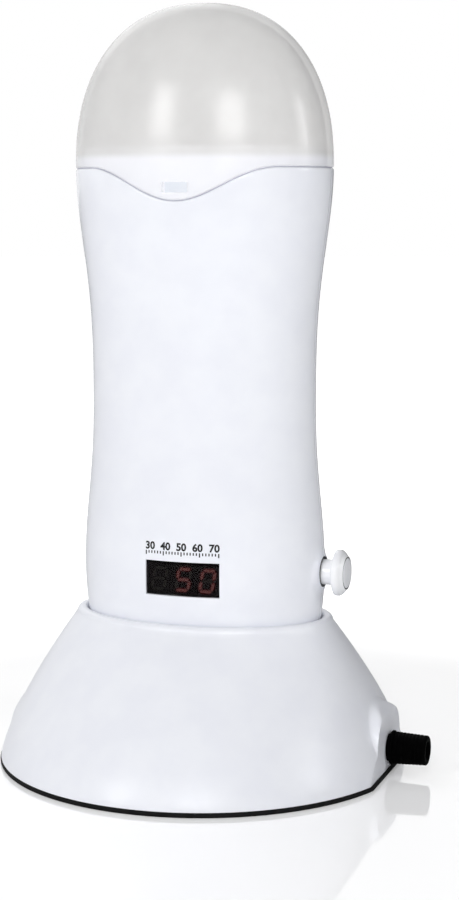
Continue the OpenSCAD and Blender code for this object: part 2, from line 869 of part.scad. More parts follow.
module pin_block() {
    color("dimgray") difference() {
        union() {
            box([-pin_block_size.x / 2, -pin_block_size.y / 2, pin_block_z - pin_block_size.z],
                [pin_block_size.x / 2, pin_block_size.y / 2, pin_block_z]);
            box([-pin_block_screw_x, -ear_r, pin_block_z - ear_t], [pin_block_screw_x, ear_r, pin_block_z]);
            at_both_sides() rod_z(pin_block_screw_x, 0, ear_r, pin_block_z - ear_t, pin_block_z);
        }
        at_both_sides() {
            rod_z(pin_pitch / 2, 0, pin_d / 2 + press, 0, far);
            rod_z(pin_block_screw_x, 0, shank_r + fit_gap, 0, far);
        }
    }
}

module contact_pins() {
    tip = 0.6;
    color("goldenrod") at_both_sides() translate([pin_pitch / 2, 0, 0]) {
        rod_z(0, 0, pin_d / 2, pin_tail_z, handset_z + pin_h - tip);
        translate([0, 0, handset_z + pin_h - tip]) rotate_extrude()
            polygon([[0, 0], [pin_d / 2, 0], [pin_d / 2 - tip, tip], [0, tip]]);
    }
}

module pin_block_screws() {
    color("silver") at_both_sides() translate([pin_block_screw_x, 0, pin_block_z - ear_t])
        mirror([0, 0, 1]) screw(ear_t + seat_floor - 0.7);
}

terminal_low = [20, -9, plate_z];
terminal_size = [14, 18, 10];
terminal_screw_y = 4.5;
wire_rise = 3;
wire_in = 3;        // how far a lead reaches into the terminal
wire_bow = 4;
terminal_screw_l = 4;

module terminal_block() {
    color("ivory") difference() {
        box(terminal_low, terminal_low + terminal_size);
        for (y = [-1, 1]) {
            rod_x(y * terminal_screw_y, terminal_low.z + wire_rise, lead_r + 0.3, 0, far);
            rod_z(terminal_low.x + terminal_size.x / 2, y * terminal_screw_y, shank_r + press,
                terminal_low.z + wire_rise, far);
        }
    }
}

module terminal_screws() {
    color("silver") for (y = [-1, 1])
        translate([terminal_low.x + terminal_size.x / 2, y * terminal_screw_y, terminal_low.z])
            translate([0, 0, terminal_size.z]) screw(terminal_screw_l);
}

module dock_leads() {
    color("saddlebrown") for (side = [-1, 1]) lead([
        [terminal_low.x + wire_in, side * terminal_screw_y, terminal_low.z + wire_rise],
        [terminal_low.x - wire_in, side * terminal_screw_y, terminal_low.z + wire_rise],
        [side * pin_pitch / 2 + wire_in, side * terminal_screw_y, terminal_low.z + wire_rise + wire_bow],
        [side * pin_pitch / 2, 0, pin_tail_z - wire_in],
        [side * pin_pitch / 2, 0, pin_tail_z]], [0, 1, 0]);
}

clamp_in = 15.1;    // from the inside of the base's wall to the clamp
clamp_x = inner_x - clamp_in;
clamp_w = 6;
clamp_y = 8;
clamp_post_r = 3;
clamp_under = gland_z + 0.4;
clamp_t = 4;
clamp_grip = 3;     // how far the clamp's screws reach into its posts

module cord_clamp() {
    color("dimgray") difference() {
        box([clamp_x, -clamp_y - clamp_post_r, clamp_under],
            [clamp_x + clamp_w, clamp_y + clamp_post_r, clamp_under + clamp_t]);
        rod_x(0, gland_z, cord_d / 2, 0, far);
        for (y = [-1, 1]) rod_z(clamp_x + clamp_w / 2, y * clamp_y, shank_r + fit_gap, 0, far);
    }
}

module cord_clamp_screws() {
    color("silver") for (y = [-1, 1])
        translate([clamp_x + clamp_w / 2, y * clamp_y, clamp_under + clamp_t]) screw(clamp_t + clamp_grip);
}

nut_r = 5.4;
nut_t = 3;
gland_root = 0.8;
gland_in = nut_t + 1;
gland_narrow = 0.7;

module cord_gland() {
    color("black") difference() {
        union() {
            rod_x(0, gland_z, gland_neck_r, flat_x, flat_x + gland_root + 0.1);
            rod_x(0, gland_z, gland_stem_r, inner_x - gland_in, flat_x + 0.1);
            translate([flat_x + gland_root, 0, gland_z]) rotate([0, 90, 0])
                cylinder(r1 = gland_d / 2, r2 = gland_d / 2 - gland_narrow, h = gland_l - gland_root);
        }
        rod_x(0, gland_z, cord_d / 2, 0, far);
    }
}

module gland_nut() {
    color("dimgray") difference() {
        rod_x(0, gland_z, nut_r, inner_x - nut_t, inner_x);
        rod_x(0, gland_z, gland_stem_r + press, 0, far);
    }
}

notch_y = nut_r + 1.6;

module base_plate() {
    color("dimgray") difference() {
        union() {
            intersection() {
                rod_z(0, 0, plate_r, pad_t, plate_z);
                box([-far, -far, 0], [inner_x - fit_gap, far, far]);
            }
            for (y = [-1, 1])
                rod_z(clamp_x + clamp_w / 2, y * clamp_y, clamp_post_r, plate_z - 1, clamp_under);
        }
        box([inner_x - gland_in - 1.5, -notch_y, 0], [far, notch_y, far]);
        at_base_screws() {
            rod_z(0, 0, shank_r + fit_gap, 0, far);
            rod_z(0, 0, head_r + fit_gap, 0, pad_t + head_h);
        }
        for (y = [-1, 1]) rod_z(clamp_x + clamp_w / 2, y * clamp_y, shank_r + press, pad_t + 1, far);
    }
}

module base_screws() {
    color("silver") at_base_screws() translate([0, 0, pad_t + head_h]) mirror([0, 0, 1]) screw(base_screw_l);
}

pad_lip = 0.3;

module non_slip_pad() {
    color("black") intersection() {
        cylinder(r = foot_r + pad_lip, h = pad_t);
        box([-far, -far, 0], [flat_x + pad_lip, far, far]);
    }
}

front_shell();
rear_shell();
neck_collar();
catch_lug();
heating_chamber();
chamber_screws();
heater_block();
heater_clamp();
heater_screws();
thermal_fuse();
temperature_sensor();
heater_leads();
control_board();
display_module();
lit_digits();
unlit_digit();
display_window();
relay();
capacitor();
potentiometer();
board_screws();
socket_block();
socket_sleeves();
supply_leads();
shell_screws();
control_shaft();
knob();
knob_face();
cap();
base_shell();
pin_block();
contact_pins();
pin_block_screws();
dock_leads();
terminal_block();
terminal_screws();
cord_clamp();
cord_clamp_screws();
cord_gland();
gland_nut();
base_plate();
base_screws();
non_slip_pad();
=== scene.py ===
import json
import math

import bmesh
import bpy
import numpy as np
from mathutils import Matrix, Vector


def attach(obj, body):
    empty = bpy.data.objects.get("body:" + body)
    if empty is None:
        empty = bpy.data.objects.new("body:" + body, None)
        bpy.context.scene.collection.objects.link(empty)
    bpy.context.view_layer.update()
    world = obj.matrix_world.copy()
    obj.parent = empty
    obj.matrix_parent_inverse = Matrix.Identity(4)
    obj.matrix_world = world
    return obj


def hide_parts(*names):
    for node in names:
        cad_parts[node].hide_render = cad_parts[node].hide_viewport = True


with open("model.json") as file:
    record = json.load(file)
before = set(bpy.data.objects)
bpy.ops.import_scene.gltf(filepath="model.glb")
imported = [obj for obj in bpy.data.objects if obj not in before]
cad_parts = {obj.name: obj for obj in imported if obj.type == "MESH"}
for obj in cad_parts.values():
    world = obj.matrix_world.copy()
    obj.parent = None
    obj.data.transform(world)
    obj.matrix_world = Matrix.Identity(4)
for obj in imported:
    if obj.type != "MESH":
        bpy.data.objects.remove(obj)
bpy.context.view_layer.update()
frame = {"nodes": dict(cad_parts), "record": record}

mm = 0.001
scene = bpy.context.scene
print("stage: frame loaded,", len(frame["nodes"]), "nodes")


# A piece's lengths, written in millimetres and held in metres
def lengths(**parts):
    return {name: tuple(mm * k for k in size) if isinstance(size, tuple) else mm * size for name, size in parts.items()}


# Camera, light and floor

camera = {
    "azimuth": 20.0,           # degrees round from straight ahead, towards the knob
    "distance": 559.2 * mm,    # level distance from the middle of the base
    "height": 166.4 * mm,
    "lens": 74.73,             # on a sensor 36 high
    "pitch": -7.35,            # looking down
    "yaw": 0.8,                # turned to the right
}


# The camera looks along its azimuth, turned by the yaw and tilted by the pitch.
def placeCamera(look):
    turn = math.radians(look["azimuth"])
    heading = turn - math.radians(look["yaw"])
    tilt = math.radians(look["pitch"])
    data = bpy.data.cameras.new("camera")
    data.lens = look["lens"]
    data.sensor_width = 36
    data.clip_start = 0.01
    data.clip_end = 50
    made = bpy.data.objects.new("camera", data)
    made.location = (look["distance"] * math.sin(turn), -look["distance"] * math.cos(turn), look["height"])
    aim = Vector((-math.sin(heading) * math.cos(tilt), math.cos(heading) * math.cos(tilt), math.sin(tilt)))
    made.rotation_euler = aim.to_track_quat("-Z", "Y").to_euler()
    scene.collection.objects.link(made)
    scene.camera = made


placeCamera(camera)
scene.view_settings.view_transform = "Standard"

# Soft boxes: one beside the camera, one to the left, one to the right, and a large faint one behind. Each has its
# azimuth, elevation, distance, width, height and power, in degrees, metres and watts.
lamps = {
    "front_soft_box": (14, 20, 0.95, 0.28, 0.32, 2.7),
    "left_soft_box": (-29, 20, 0.95, 0.18, 0.32, 2.1),
    "right_strip": (84, 19, 0.95, 0.13, 0.34, 1.7),
    "back_fill": (222, 38, 1.6, 1.1, 0.9, 4.5),
}
lampAim = Vector((0, 0, 0.13))


# An area lamp at its distance from the aim, along the direction its azimuth and elevation give, turned to face it
def placeLamp(name, azimuth, elevation, distance, width, height, power):
    turn, rise = math.radians(azimuth), math.radians(elevation)
    back = Vector((math.sin(turn) * math.cos(rise), -math.cos(turn) * math.cos(rise), math.sin(rise)))
    data = bpy.data.lights.new(name, "AREA")
    data.shape = "RECTANGLE"
    data.size, data.size_y = width, height
    data.energy = power
    made = bpy.data.objects.new(name, data)
    made.location = lampAim + back * distance
    made.rotation_euler = (-back).to_track_quat("-Z", "Y").to_euler()
    made.visible_camera = False
    scene.collection.objects.link(made)


for lampName, lampValues in lamps.items():
    placeLamp(lampName, *lampValues)


# Materials

# sRGB hex value to linear red, green, blue and 1
def colour(hexValue):
    parts = np.array([int(hexValue[k:k + 2], 16) for k in (0, 2, 4)]) / 255
    linear = np.where(parts <= 0.04045, parts / 12.92, ((parts + 0.055) / 1.055) ** 2.4)
    return (*linear.tolist(), 1.0)


# Adds a node to a tree, sets its inputs or properties, and links its inputs to other nodes' outputs
def node(tree, kind, values=None, links=None):
    made = tree.nodes.new(kind)
    for key, value in (values or {}).items():
        if isinstance(key, int) or key in made.inputs.keys():
            made.inputs[key].default_value = value
        else:
            setattr(made, key, value)
    for key, source in (links or {}).items():
        tree.links.new(source, made.inputs[key])
    return made


backdrop = {
    "ambient": 0.5,                # level light from all round
    "darkSide": (122, 0.2, 0.75),  # azimuth of the unlit side, behind to the right, and the cosines where it fades in
    "darkSideDrop": 0.85,          # how much of the level light it lacks
    "card": (145, 0.66, 0.76),     # the black card that gloss sees there
    "room": (12, -0.1, 0.45),      # the dark room behind the camera, which only gloss sees
    "roomDrop": 0.9,
    "ceiling": (0.35, 0.95),       # the sines of elevation between which the overhead light falls off
    "ceilingDrop": 0.5,            # how much less comes from overhead
    "floorPaint": "f7f7f8", "floorGloss": 0.06, "floorIor": 2.6,
    "floorNear": 130 * mm, "floorFar": 260 * mm,
    "floorMirror": (0.5, 0.0),     # how much the floor mirrors, near and far
    "floorGlow": (0.25, 0.85),     # how much it glows for the camera, near and far
}


# How far a direction of the world turns towards an azimuth: 0 up to the first cosine, 1 from the second one
def towards(tree, direction, azimuth, low, high):
    turn = math.radians(azimuth)
    along = node(tree, "ShaderNodeVectorMath", {"operation": "DOT_PRODUCT", 1: (math.sin(turn), -math.cos(turn), 0)},
                 {0: direction})
    return node(tree, "ShaderNodeMapRange", {"interpolation_type": "SMOOTHSTEP", "From Min": low, "From Max": high},
                {"Value": along.outputs["Value"]}).outputs["Result"]


# The world lights the object at a plain level, less from its dark side. The camera sees white, and gloss sees white
# but for the dark side and the room behind the camera.
def makeWorld(look):
    world = bpy.data.worlds.new("studio")
    scene.world = world
    world.use_nodes = True
    tree = world.node_tree
    tree.nodes.clear()
    rays = node(tree, "ShaderNodeLightPath")
    direction = node(tree, "ShaderNodeTexCoord").outputs["Generated"]
    side, card, room = (towards(tree, direction, *look[part]) for part in ("darkSide", "card", "room"))
    sideLeft, cardLeft, roomLeft = (
        node(tree, "ShaderNodeMath", {"operation": "MULTIPLY_ADD", 1: -drop, 2: 1.0}, {0: share}).outputs[0]
        for share, drop in ((side, look["darkSideDrop"]), (card, 1.0), (room, look["roomDrop"])))
    inGloss = node(tree, "ShaderNodeMath", {"operation": "MULTIPLY"}, {0: cardLeft, 1: roomLeft}).outputs[0]
    upward = node(tree, "ShaderNodeSeparateXYZ", None, {"Vector": direction}).outputs["Z"]
    low, high = look["ceiling"]
    overhead = node(tree, "ShaderNodeMapRange", {
        "interpolation_type": "SMOOTHSTEP", "From Min": low, "From Max": high,
        "To Min": look["ambient"], "To Max": look["ambient"] * (1 - look["ceilingDrop"])}, {"Value": upward})
    level = node(tree, "ShaderNodeMath", {"operation": "MULTIPLY"}, {0: sideLeft, 1: overhead.outputs["Result"]})
    seen = node(tree, "ShaderNodeMath", {"operation": "MAXIMUM"},
                {0: rays.outputs["Is Camera Ray"], 1: rays.outputs["Is Transmission Ray"]})
    light, gloss = (node(tree, "ShaderNodeBackground", {"Color": colour("ffffff")}, {"Strength": strength})
                    for strength in (level.outputs[0], inGloss))
    white = node(tree, "ShaderNodeBackground", {"Color": colour("ffffff"), "Strength": 1.0})
    mix = node(tree, "ShaderNodeMixShader", None,
               {0: rays.outputs["Is Glossy Ray"], 1: light.outputs[0], 2: gloss.outputs[0]})
    mix = node(tree, "ShaderNodeMixShader", None, {0: seen.outputs[0], 1: mix.outputs[0], 2: white.outputs[0]})
    node(tree, "ShaderNodeOutputWorld", None, {"Surface": mix.outputs[0]})


# Glazed white floor: it keeps the object's shadow, and near the object a faint mirror image
def makeFloor(look):
    bpy.ops.mesh.primitive_circle_add(vertices=96, radius=6, fill_type="NGON")
    made = bpy.context.object
    made.name = "floor"
    paint = bpy.data.materials.new("glazed floor")
    paint.use_nodes = True
    tree = paint.node_tree
    shader = tree.nodes["Principled BSDF"]
    shader.inputs["Base Color"].default_value = colour(look["floorPaint"])
    shader.inputs["Roughness"].default_value = look["floorGloss"]
    shader.inputs["IOR"].default_value = look["floorIor"]
    place = node(tree, "ShaderNodeTexCoord").outputs["Object"]
    away = node(tree, "ShaderNodeVectorMath", {"operation": "LENGTH"}, {0: place}).outputs["Value"]
    mirror, level = (node(tree, "ShaderNodeMapRange", {
        "interpolation_type": "SMOOTHSTEP", "From Min": look["floorNear"], "From Max": look["floorFar"],
        "To Min": near, "To Max": far}, {"Value": away}).outputs["Result"]
        for near, far in (look["floorMirror"], look["floorGlow"]))
    tree.links.new(mirror, shader.inputs["Specular IOR Level"])
    rays = node(tree, "ShaderNodeLightPath")
    glow = node(tree, "ShaderNodeMath", {"operation": "MULTIPLY"}, {0: rays.outputs["Is Camera Ray"], 1: level})
    shader.inputs["Emission Color"].default_value = colour("ffffff")
    tree.links.new(glow.outputs[0], shader.inputs["Emission Strength"])
    made.data.materials.append(paint)


makeWorld(backdrop)
makeFloor(backdrop)


# A procedural surface. A broad noise drifts the colour between two close tones and a fine one gives the roughness
# its wear and the bump its grain. A painted light band can turn the colour lighter below a height: painted brightness
# where a white part behind a see-through wall shows through it. Sizes are the drift's and the grain's; these, the
# depths and the painted light band's height and fade are in millimetres, in object space. A real moulded or drawn
# surface has a finer grain than the render can show, so the grain is drawn 0.25 to 0.8 mm coarse.
def surface(name, tones, sizes, grain, roughness, ripple=None, stretch=None, paintedLightBand=None, inputs=None):
    made = bpy.data.materials.new(name)
    made.use_nodes = True
    tree = made.node_tree
    shader = tree.nodes["Principled BSDF"]
    place = node(tree, "ShaderNodeTexCoord").outputs["Object"]
    if stretch:
        place = node(tree, "ShaderNodeMapping", {"Scale": stretch}, {"Vector": place}).outputs["Vector"]
    broad, fine = (node(tree, "ShaderNodeTexNoise", {"Scale": 1 / (size * mm), "Detail": detail}, {"Vector": place})
                   for size, detail in zip(sizes, (2.0, 3.0)))
    ramp = node(tree, "ShaderNodeValToRGB", None, {"Fac": broad.outputs["Fac"]})
    for stop, position, tone in zip(ramp.color_ramp.elements, (0.35, 0.65), tones):
        stop.position, stop.color = position, colour(tone)
    paint = ramp.outputs["Color"]
    # painted light band: below the given height the colour turns to a lighter one, painted brightness of a white part
    # showing through
    if paintedLightBand:
        tone, height, fade = paintedLightBand
        upward = node(tree, "ShaderNodeSeparateXYZ", None, {"Vector": place}).outputs["Z"]
        share = node(tree, "ShaderNodeMapRange", {
            "interpolation_type": "SMOOTHSTEP", "From Min": height * mm, "From Max": (height + fade) * mm},
            {"Value": upward}).outputs["Result"]
        paint = node(tree, "ShaderNodeMixRGB", {"Color1": colour(tone)},
                     {"Fac": share, "Color2": paint}).outputs["Color"]
    tree.links.new(paint, shader.inputs["Base Color"])
    low, high = roughness
    rough = node(tree, "ShaderNodeMapRange", {"From Min": 0.3, "From Max": 0.7, "To Min": low, "To Max": high},
                 {"Value": fine.outputs["Fac"]})
    tree.links.new(rough.outputs["Result"], shader.inputs["Roughness"])
    bump = node(tree, "ShaderNodeBump", {"Strength": 1.0, "Distance": grain * mm}, {"Height": fine.outputs["Fac"]})
    if ripple:
        bump = node(tree, "ShaderNodeBump", {"Strength": 1.0, "Distance": ripple * mm},
                    {"Height": broad.outputs["Fac"], "Normal": bump.outputs["Normal"]})
    tree.links.new(bump.outputs["Normal"], shader.inputs["Normal"])
    for key, value in (inputs or {}).items():
        shader.inputs[key].default_value = value
    return made


finishes = {
    # glossy moulded ABS: cool white, with the faint ripple of a moulded wall in its highlights
    "white_shell": surface("moulded white ABS", ("f0f2f9", "f3f5fb"), (9, 0.6), 0.001, (0.12, 0.18), ripple=0.012,
                           inputs={"IOR": 1.5}),
    # the neck is the same ABS, a little brighter and duller where the cap shields it
    "white_neck": surface("moulded white ABS neck", ("f6f6fb", "f9f9fd"), (7, 0.6), 0.002, (0.25, 0.34),
                          inputs={"IOR": 1.5}),
    # tinted polypropylene of the catch: pale blue grey and satin
    "pale_blue": surface("tinted polypropylene", ("e3e8f0", "e9edf4"), (3, 0.4), 0.004, (0.4, 0.5)),
    # anodised aluminium of the bay: grey with drawn lines upward
    "chamber": surface("drawn anodised aluminium", ("b9bbbe", "c9cbce"), (4, 0.5), 0.006, (0.28, 0.42),
                       stretch=(1, 1, 0.06), inputs={"Metallic": 1.0}),
    # plated screws: bright bluish metal with fine wear
    "screw_steel": surface("zinc plated steel", ("b7b9bd", "cfd1d4"), (1.5, 0.3), 0.004, (0.22, 0.38),
                           inputs={"Metallic": 1.0}),
    # the heater: chalky grey, coarse to the eye
    "heater": surface("sintered ceramic heater", ("8e8f90", "a3a4a4"), (2, 0.3), 0.01, (0.55, 0.7)),
    # varnish over the sensor: amber and shiny
    "sensor": surface("varnished sensor bead", ("a87a33", "bd8c40"), (1.5, 0.3), 0.005, (0.2, 0.35)),
    # sleeving of the leads: dull, soft silicone in red and in brown
    "red_lead": surface("red silicone sleeving", ("9c2320", "ae2c28"), (2, 0.3), 0.006, (0.45, 0.6)),
    "brown_lead": surface("brown silicone sleeving", ("5d3a22", "6c452a"), (2, 0.3), 0.006, (0.45, 0.6)),
    # green lacquer over the board's weave
    "board": surface("masked circuit laminate", ("1d5a38", "246a43"), (3, 0.5), 0.01, (0.3, 0.42)),
    # black epoxy face of the display: it swallows what falls through the window
    "display_black": surface("black epoxy housing", ("0c0a0a", "141111"), (3, 0.4), 0.004, (0.4, 0.5)),
    # lit strokes glow a soft red through the smoked window, and the others stay a dim grey
    "lit_red": surface("lit red diffuser", ("904844", "b06660"), (0.8, 0.3), 0.004, (0.4, 0.5),
                       inputs={"Emission Color": colour("bc7673"), "Emission Strength": 1.0}),
    "unlit_grey": surface("unlit diffuser", ("8c8a7c", "9a9688"), (0.9, 0.3), 0.004, (0.4, 0.5)),
    # smoked acrylic: near black, polished, with the strokes showing through it
    "smoked_window": surface("smoked acrylic", ("0d0a0b", "120e0f"), (6, 0.8), 0.0005, (0.04, 0.08),
                             inputs={"Alpha": 0.62, "IOR": 1.49, "Specular IOR Level": 0.12}),
    # cases on the board: smooth blue, and a shiny black sleeve
    "relay_blue": surface("blue nylon case", ("17407f", "1c4c92"), (3, 0.4), 0.004, (0.35, 0.45)),
    "capacitor_black": surface("shrink sleeve", ("15161c", "1d1f28"), (3, 0.4), 0.004, (0.25, 0.35)),
    # the rotary control's case: dull cast metal
    "control_grey": surface("die cast control case", ("8a9097", "989ea5"), (2, 0.4), 0.008, (0.35, 0.5),
                            inputs={"Metallic": 0.9}),
    # glass filled nylon: charcoal with a dry surface
    "black_plastic": surface("black glass filled nylon", ("17171a", "202024"), (3, 0.4), 0.01, (0.45, 0.6)),
    # turned brass: warm, with turning marks along the pins
    "contact_brass": surface("turned brass", ("c9a04c", "d8b262"), (1.5, 0.25), 0.004, (0.18, 0.3), stretch=(1, 1, 6),
                             inputs={"Metallic": 1.0}),
    # the knob: glossy, a touch whiter than the shells
    "white_knob": surface("moulded white knob", ("f6f7fb", "fafbfd"), (4, 0.5), 0.002, (0.14, 0.22),
                          inputs={"IOR": 1.5}),
    # the disc in the knob's face: satin grey, turned
    "knob_grey": surface("satin grey disc", ("eceef3", "f3f4f8"), (2, 0.4), 0.006, (0.3, 0.42)),
    # frosted polypropylene: milky and pearly; low down, at the seam and below, its colour is painted whiter, painted
    # brightness of the white neck that backs the wall and shows through
    "frosted_cap": surface("frosted polypropylene", ("dad9d8", "dfdedd"), (12, 0.7), 0.0003, (0.19, 0.24), ripple=0.01,
                           paintedLightBand=("f4f5fa", 180.4, 2.4), inputs={"Alpha": 0.55, "IOR": 1.45}),
    # the terminal: dense ivory with a low sheen
    "terminal_ivory": surface("ivory urea terminal", ("e2dcc6", "eae4d0"), (3, 0.4), 0.006, (0.35, 0.45)),
    # the gland: matt black nylon that hardly reflects
    "black_gland": surface("black nylon gland", ("010101", "030303"), (3, 0.5), 0.012, (0.6, 0.75),
                           inputs={"Specular IOR Level": 0.02}),
    # the pad: open black foam, dull all over
    "pad_rubber": surface("black foam rubber", ("0b0b0c", "131314"), (2, 0.5), 0.05, (0.75, 0.9),
                          inputs={"Specular IOR Level": 0.2}),
    # the base: the shells' ABS with a satin skin that spreads its highlights
    "white_base": surface("satin white ABS", ("f0f2f9", "f3f5fb"), (9, 0.6), 0.001, (0.3, 0.36), ripple=0.012,
                          inputs={"Specular IOR Level": 0.4}),
    # the grey lip in the seam under the cap: its grey is painted shade, standing in for the shadow in the seam's gap
    "seam_shade_grey": surface("painted seam shade", ("a9a9b8", "b3b3c1"), (3, 0.4), 0.004, (0.5, 0.6)),
    # the dim red that the lit strokes throw into the epoxy round them
    "red_glow": surface("red lit epoxy", ("2a0606", "3a0a0a"), (0.8, 0.3), 0.004, (0.4, 0.5),
                        inputs={"Emission Color": colour("620c10"), "Emission Strength": 0.9}),
    # pad printing ink of the scale: near black, satin, very thin
    "ink": surface("pad printing ink", ("050506", "09090b"), (1.5, 0.3), 0.002, (0.4, 0.5)),
}
print("stage: materials made,", len(finishes))


# Meshes from grids of points

# Stops joined by even steps that are no longer than the given one
def ladder(stops, step):
    stops = np.unique(np.round(stops, 9))
    parts = [np.linspace(a, b, max(1, math.ceil((b - a) / step - 1e-6)) + 1)[:-1]
             for a, b in zip(stops[:-1], stops[1:])]
    return np.concatenate(parts + [stops[-1:]])


# Smooth step: 0 below 0, 1 above 1, and 3s^2 - 2s^3 between
def smooth(share):
    share = np.clip(share, 0, 1)
    return share * share * (3 - 2 * share)


# Corner numbers of the cells of a grid of n by m points, shaped (cells along, cells up, 4)
def cells(n, m, wrap):
    index = np.arange(n * m).reshape(n, m)
    if wrap:
        index = np.vstack([index, index[:1]])
    return np.stack([index[:-1, :-1], index[1:, :-1], index[1:, 1:], index[:-1, 1:]], -1)


# A mesh object: doubles merged, edges sharper than 45 degrees bevelled, smooth shaded but for what stays sharp
def putMesh(name, points, faces, bevel=0.0, turnOut=False):
    used, faces = np.unique(faces, return_inverse=True)
    data = bpy.data.meshes.new(name)
    data.from_pydata(points[used].tolist(), [], faces.reshape(-1, 4).tolist())
    work = bmesh.new()
    work.from_mesh(data)
    bmesh.ops.remove_doubles(work, verts=work.verts, dist=1e-7)
    bmesh.ops.dissolve_degenerate(work, edges=work.edges, dist=1e-8)
    if turnOut:
        bmesh.ops.recalc_face_normals(work, faces=work.faces)
    if bevel:
        sharp = [e for e in work.edges if len(e.link_faces) == 2 and e.calc_face_angle() > math.radians(45)]
        bmesh.ops.bevel(work, geom=sharp, offset=bevel, segments=2, profile=0.5, affect="EDGES", clamp_overlap=True)
    work.to_mesh(data)
    work.free()
    data.polygons.foreach_set("use_smooth", np.ones(len(data.polygons), bool))
    data.set_sharp_from_angle(angle=math.radians(50))
    made = bpy.data.objects.new(name, data)
    scene.collection.objects.link(made)
    return made


# A wall between two sheets of points: the outer one, the inner one turned round, and a strip along every free edge
def thickSheet(name, outer, inner, keep, wrap=False, bevel=0.0):
    n, m = outer.shape[:2]
    quads = cells(n, m, wrap)[keep]
    edges = np.concatenate([quads[:, [k, (k + 1) % 4]] for k in range(4)])
    free = edges[~np.isin(edges[:, 0] * n * m + edges[:, 1], edges[:, 1] * n * m + edges[:, 0])]
    strip = np.column_stack([free[:, 1], free[:, 0], free[:, 0] + n * m, free[:, 1] + n * m])
    points = np.concatenate([outer.reshape(-1, 3), inner.reshape(-1, 3)])
    return putMesh(name, points, np.concatenate([quads, quads[:, ::-1] + n * m, strip]), bevel)


# A closed surface from a grid that wraps round, with its ends at poles or joined to each other
def closedSurface(name, grid, ring=False):
    if ring:
        grid = np.concatenate([grid, grid[:, :1]], 1)
    n, m = grid.shape[:2]
    return putMesh(name, grid.reshape(-1, 3), cells(n, m, True).reshape(-1, 4), turnOut=True)


# A profile of half widths, half depths and heights carried round an oval
def ovalGrid(profile, columns=192):
    turn = np.linspace(0, 2 * np.pi, columns, endpoint=False)[:, None]
    a, b, z = (np.asarray(k, float)[None, :] for k in profile)
    return np.stack([a * np.cos(turn), b * np.sin(turn), z + 0 * turn], -1)


# A profile of radii and places along X carried round a level axis at the given height
def latheGrid(profile, height, columns=96):
    turn = np.linspace(0, 2 * np.pi, columns, endpoint=False)[:, None]
    r, x = (np.asarray(k, float)[None, :] for k in profile)
    return np.stack([x + 0 * turn, r * np.cos(turn), height + r * np.sin(turn)], -1)


# Gives a piece its finish, its body and the nodes it stands for
def dress(piece, body, slotName, *nodes, paint=None):
    piece.data.materials.append(finishes[paint or slotName])
    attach(piece, body)
    if nodes:
        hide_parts(*nodes)


# The handset's outline

outline = dict(
    lengths(foot=33.5, hip=60, waist=112, seam=178.5, hipWidth=75.4, waistWidth=69.4, shoulderWidth=79.2, footTaper=3.2,
            domeHeight=47.6, tongueHeight=9.6, tongueWidth=58),
    depthShare=46.8 / 75.4, hipEase=1.25, shoulderEase=1.45, domePower=2.28)


# Half width at height z: a parabola below the hip, squared sines from the waist down to the hip and up to the
# shoulder, and above the seam a superellipse
def halfWidth(z):
    o = outline
    low, high = (np.sin(np.pi / 2 * np.clip(share, 0, 1) ** power) ** 2 for share, power in (
        ((o["waist"] - z) / (o["waist"] - o["hip"]), o["hipEase"]),
        ((z - o["waist"]) / (o["seam"] - o["waist"]), o["shoulderEase"])))
    rise = np.clip((z - o["seam"]) / o["domeHeight"], 0, 1)
    return np.select(
        [z < o["hip"], z < o["waist"], z < o["seam"]],
        [o["hipWidth"] / 2 - o["footTaper"] * ((o["hip"] - z) / (o["hip"] - o["foot"])) ** 2,
         o["waistWidth"] / 2 + (o["hipWidth"] - o["waistWidth"]) / 2 * low,
         o["waistWidth"] / 2 + (o["shoulderWidth"] - o["waistWidth"]) / 2 * high],
        o["shoulderWidth"] / 2 * (1 - rise ** o["domePower"]) ** (1 / o["domePower"]))


# Half depth at height z: the same share of the half width all the way up
def halfDepth(z):
    return halfWidth(z) * outline["depthShare"]


# How far the seam dips below its own height at x: one wave of a cosine in the middle of the front
def seamDip(x):
    o = outline
    wave = o["tongueHeight"] * (1 + np.cos(2 * np.pi * x / o["tongueWidth"])) / 2
    return np.where(abs(x) < o["tongueWidth"] / 2, wave, 0)


# Grid lines round a square hole pressed out to a circle: a point moves along its own ray from the hole's middle,
# fully at the hole's edge and less out to the given reach. u and v are in radii.
def roundOut(u, v, reach=1.9):
    square, circle = np.maximum(abs(u), abs(v)), np.maximum(np.hypot(u, v), 1e-9)
    share = np.where(square < reach, smooth((reach - square) / (reach - 1)), 0)
    scale = 1 + share * (square / circle - 1)
    return u * scale, v * scale


# The handset's two shells

shell = dict(
    lengths(wall=2.4, floor=2.4, partingGap=0.26, seamGap=0.3, footRound=1.2, seamRound=0.6, edge=0.13, row=1.2,
            socket=(12.15, 5.15),      # half the opening for the contact sockets
            stemPad=(38.0, 4.8, 7),    # the pad's face, its radius, and where it has faded out
            waveStart=98,              # below this height the rows are level
            cornerFade=(14, 18),       # the wall thickens from this x on, over this much
            floorRise=12),             # the floor runs out over this height
    column=math.radians(1.5), bottomRows=6)
windowHole = dict(lengths(middle=(1.4, 59), half=(11.4, 5.15)), axis="y", round=False)
knobHole = dict(lengths(middle=(0, 59.4), half=(4.6, 4.6)), axis="x", round=True)
screwHoles = [dict(lengths(middle=(side * x, z), half=(2.15, 2.15), seat=3), axis="y", round=True)
              for side in (-1, 1) for x, z in ((27, 41), (31.5, 156.5))]


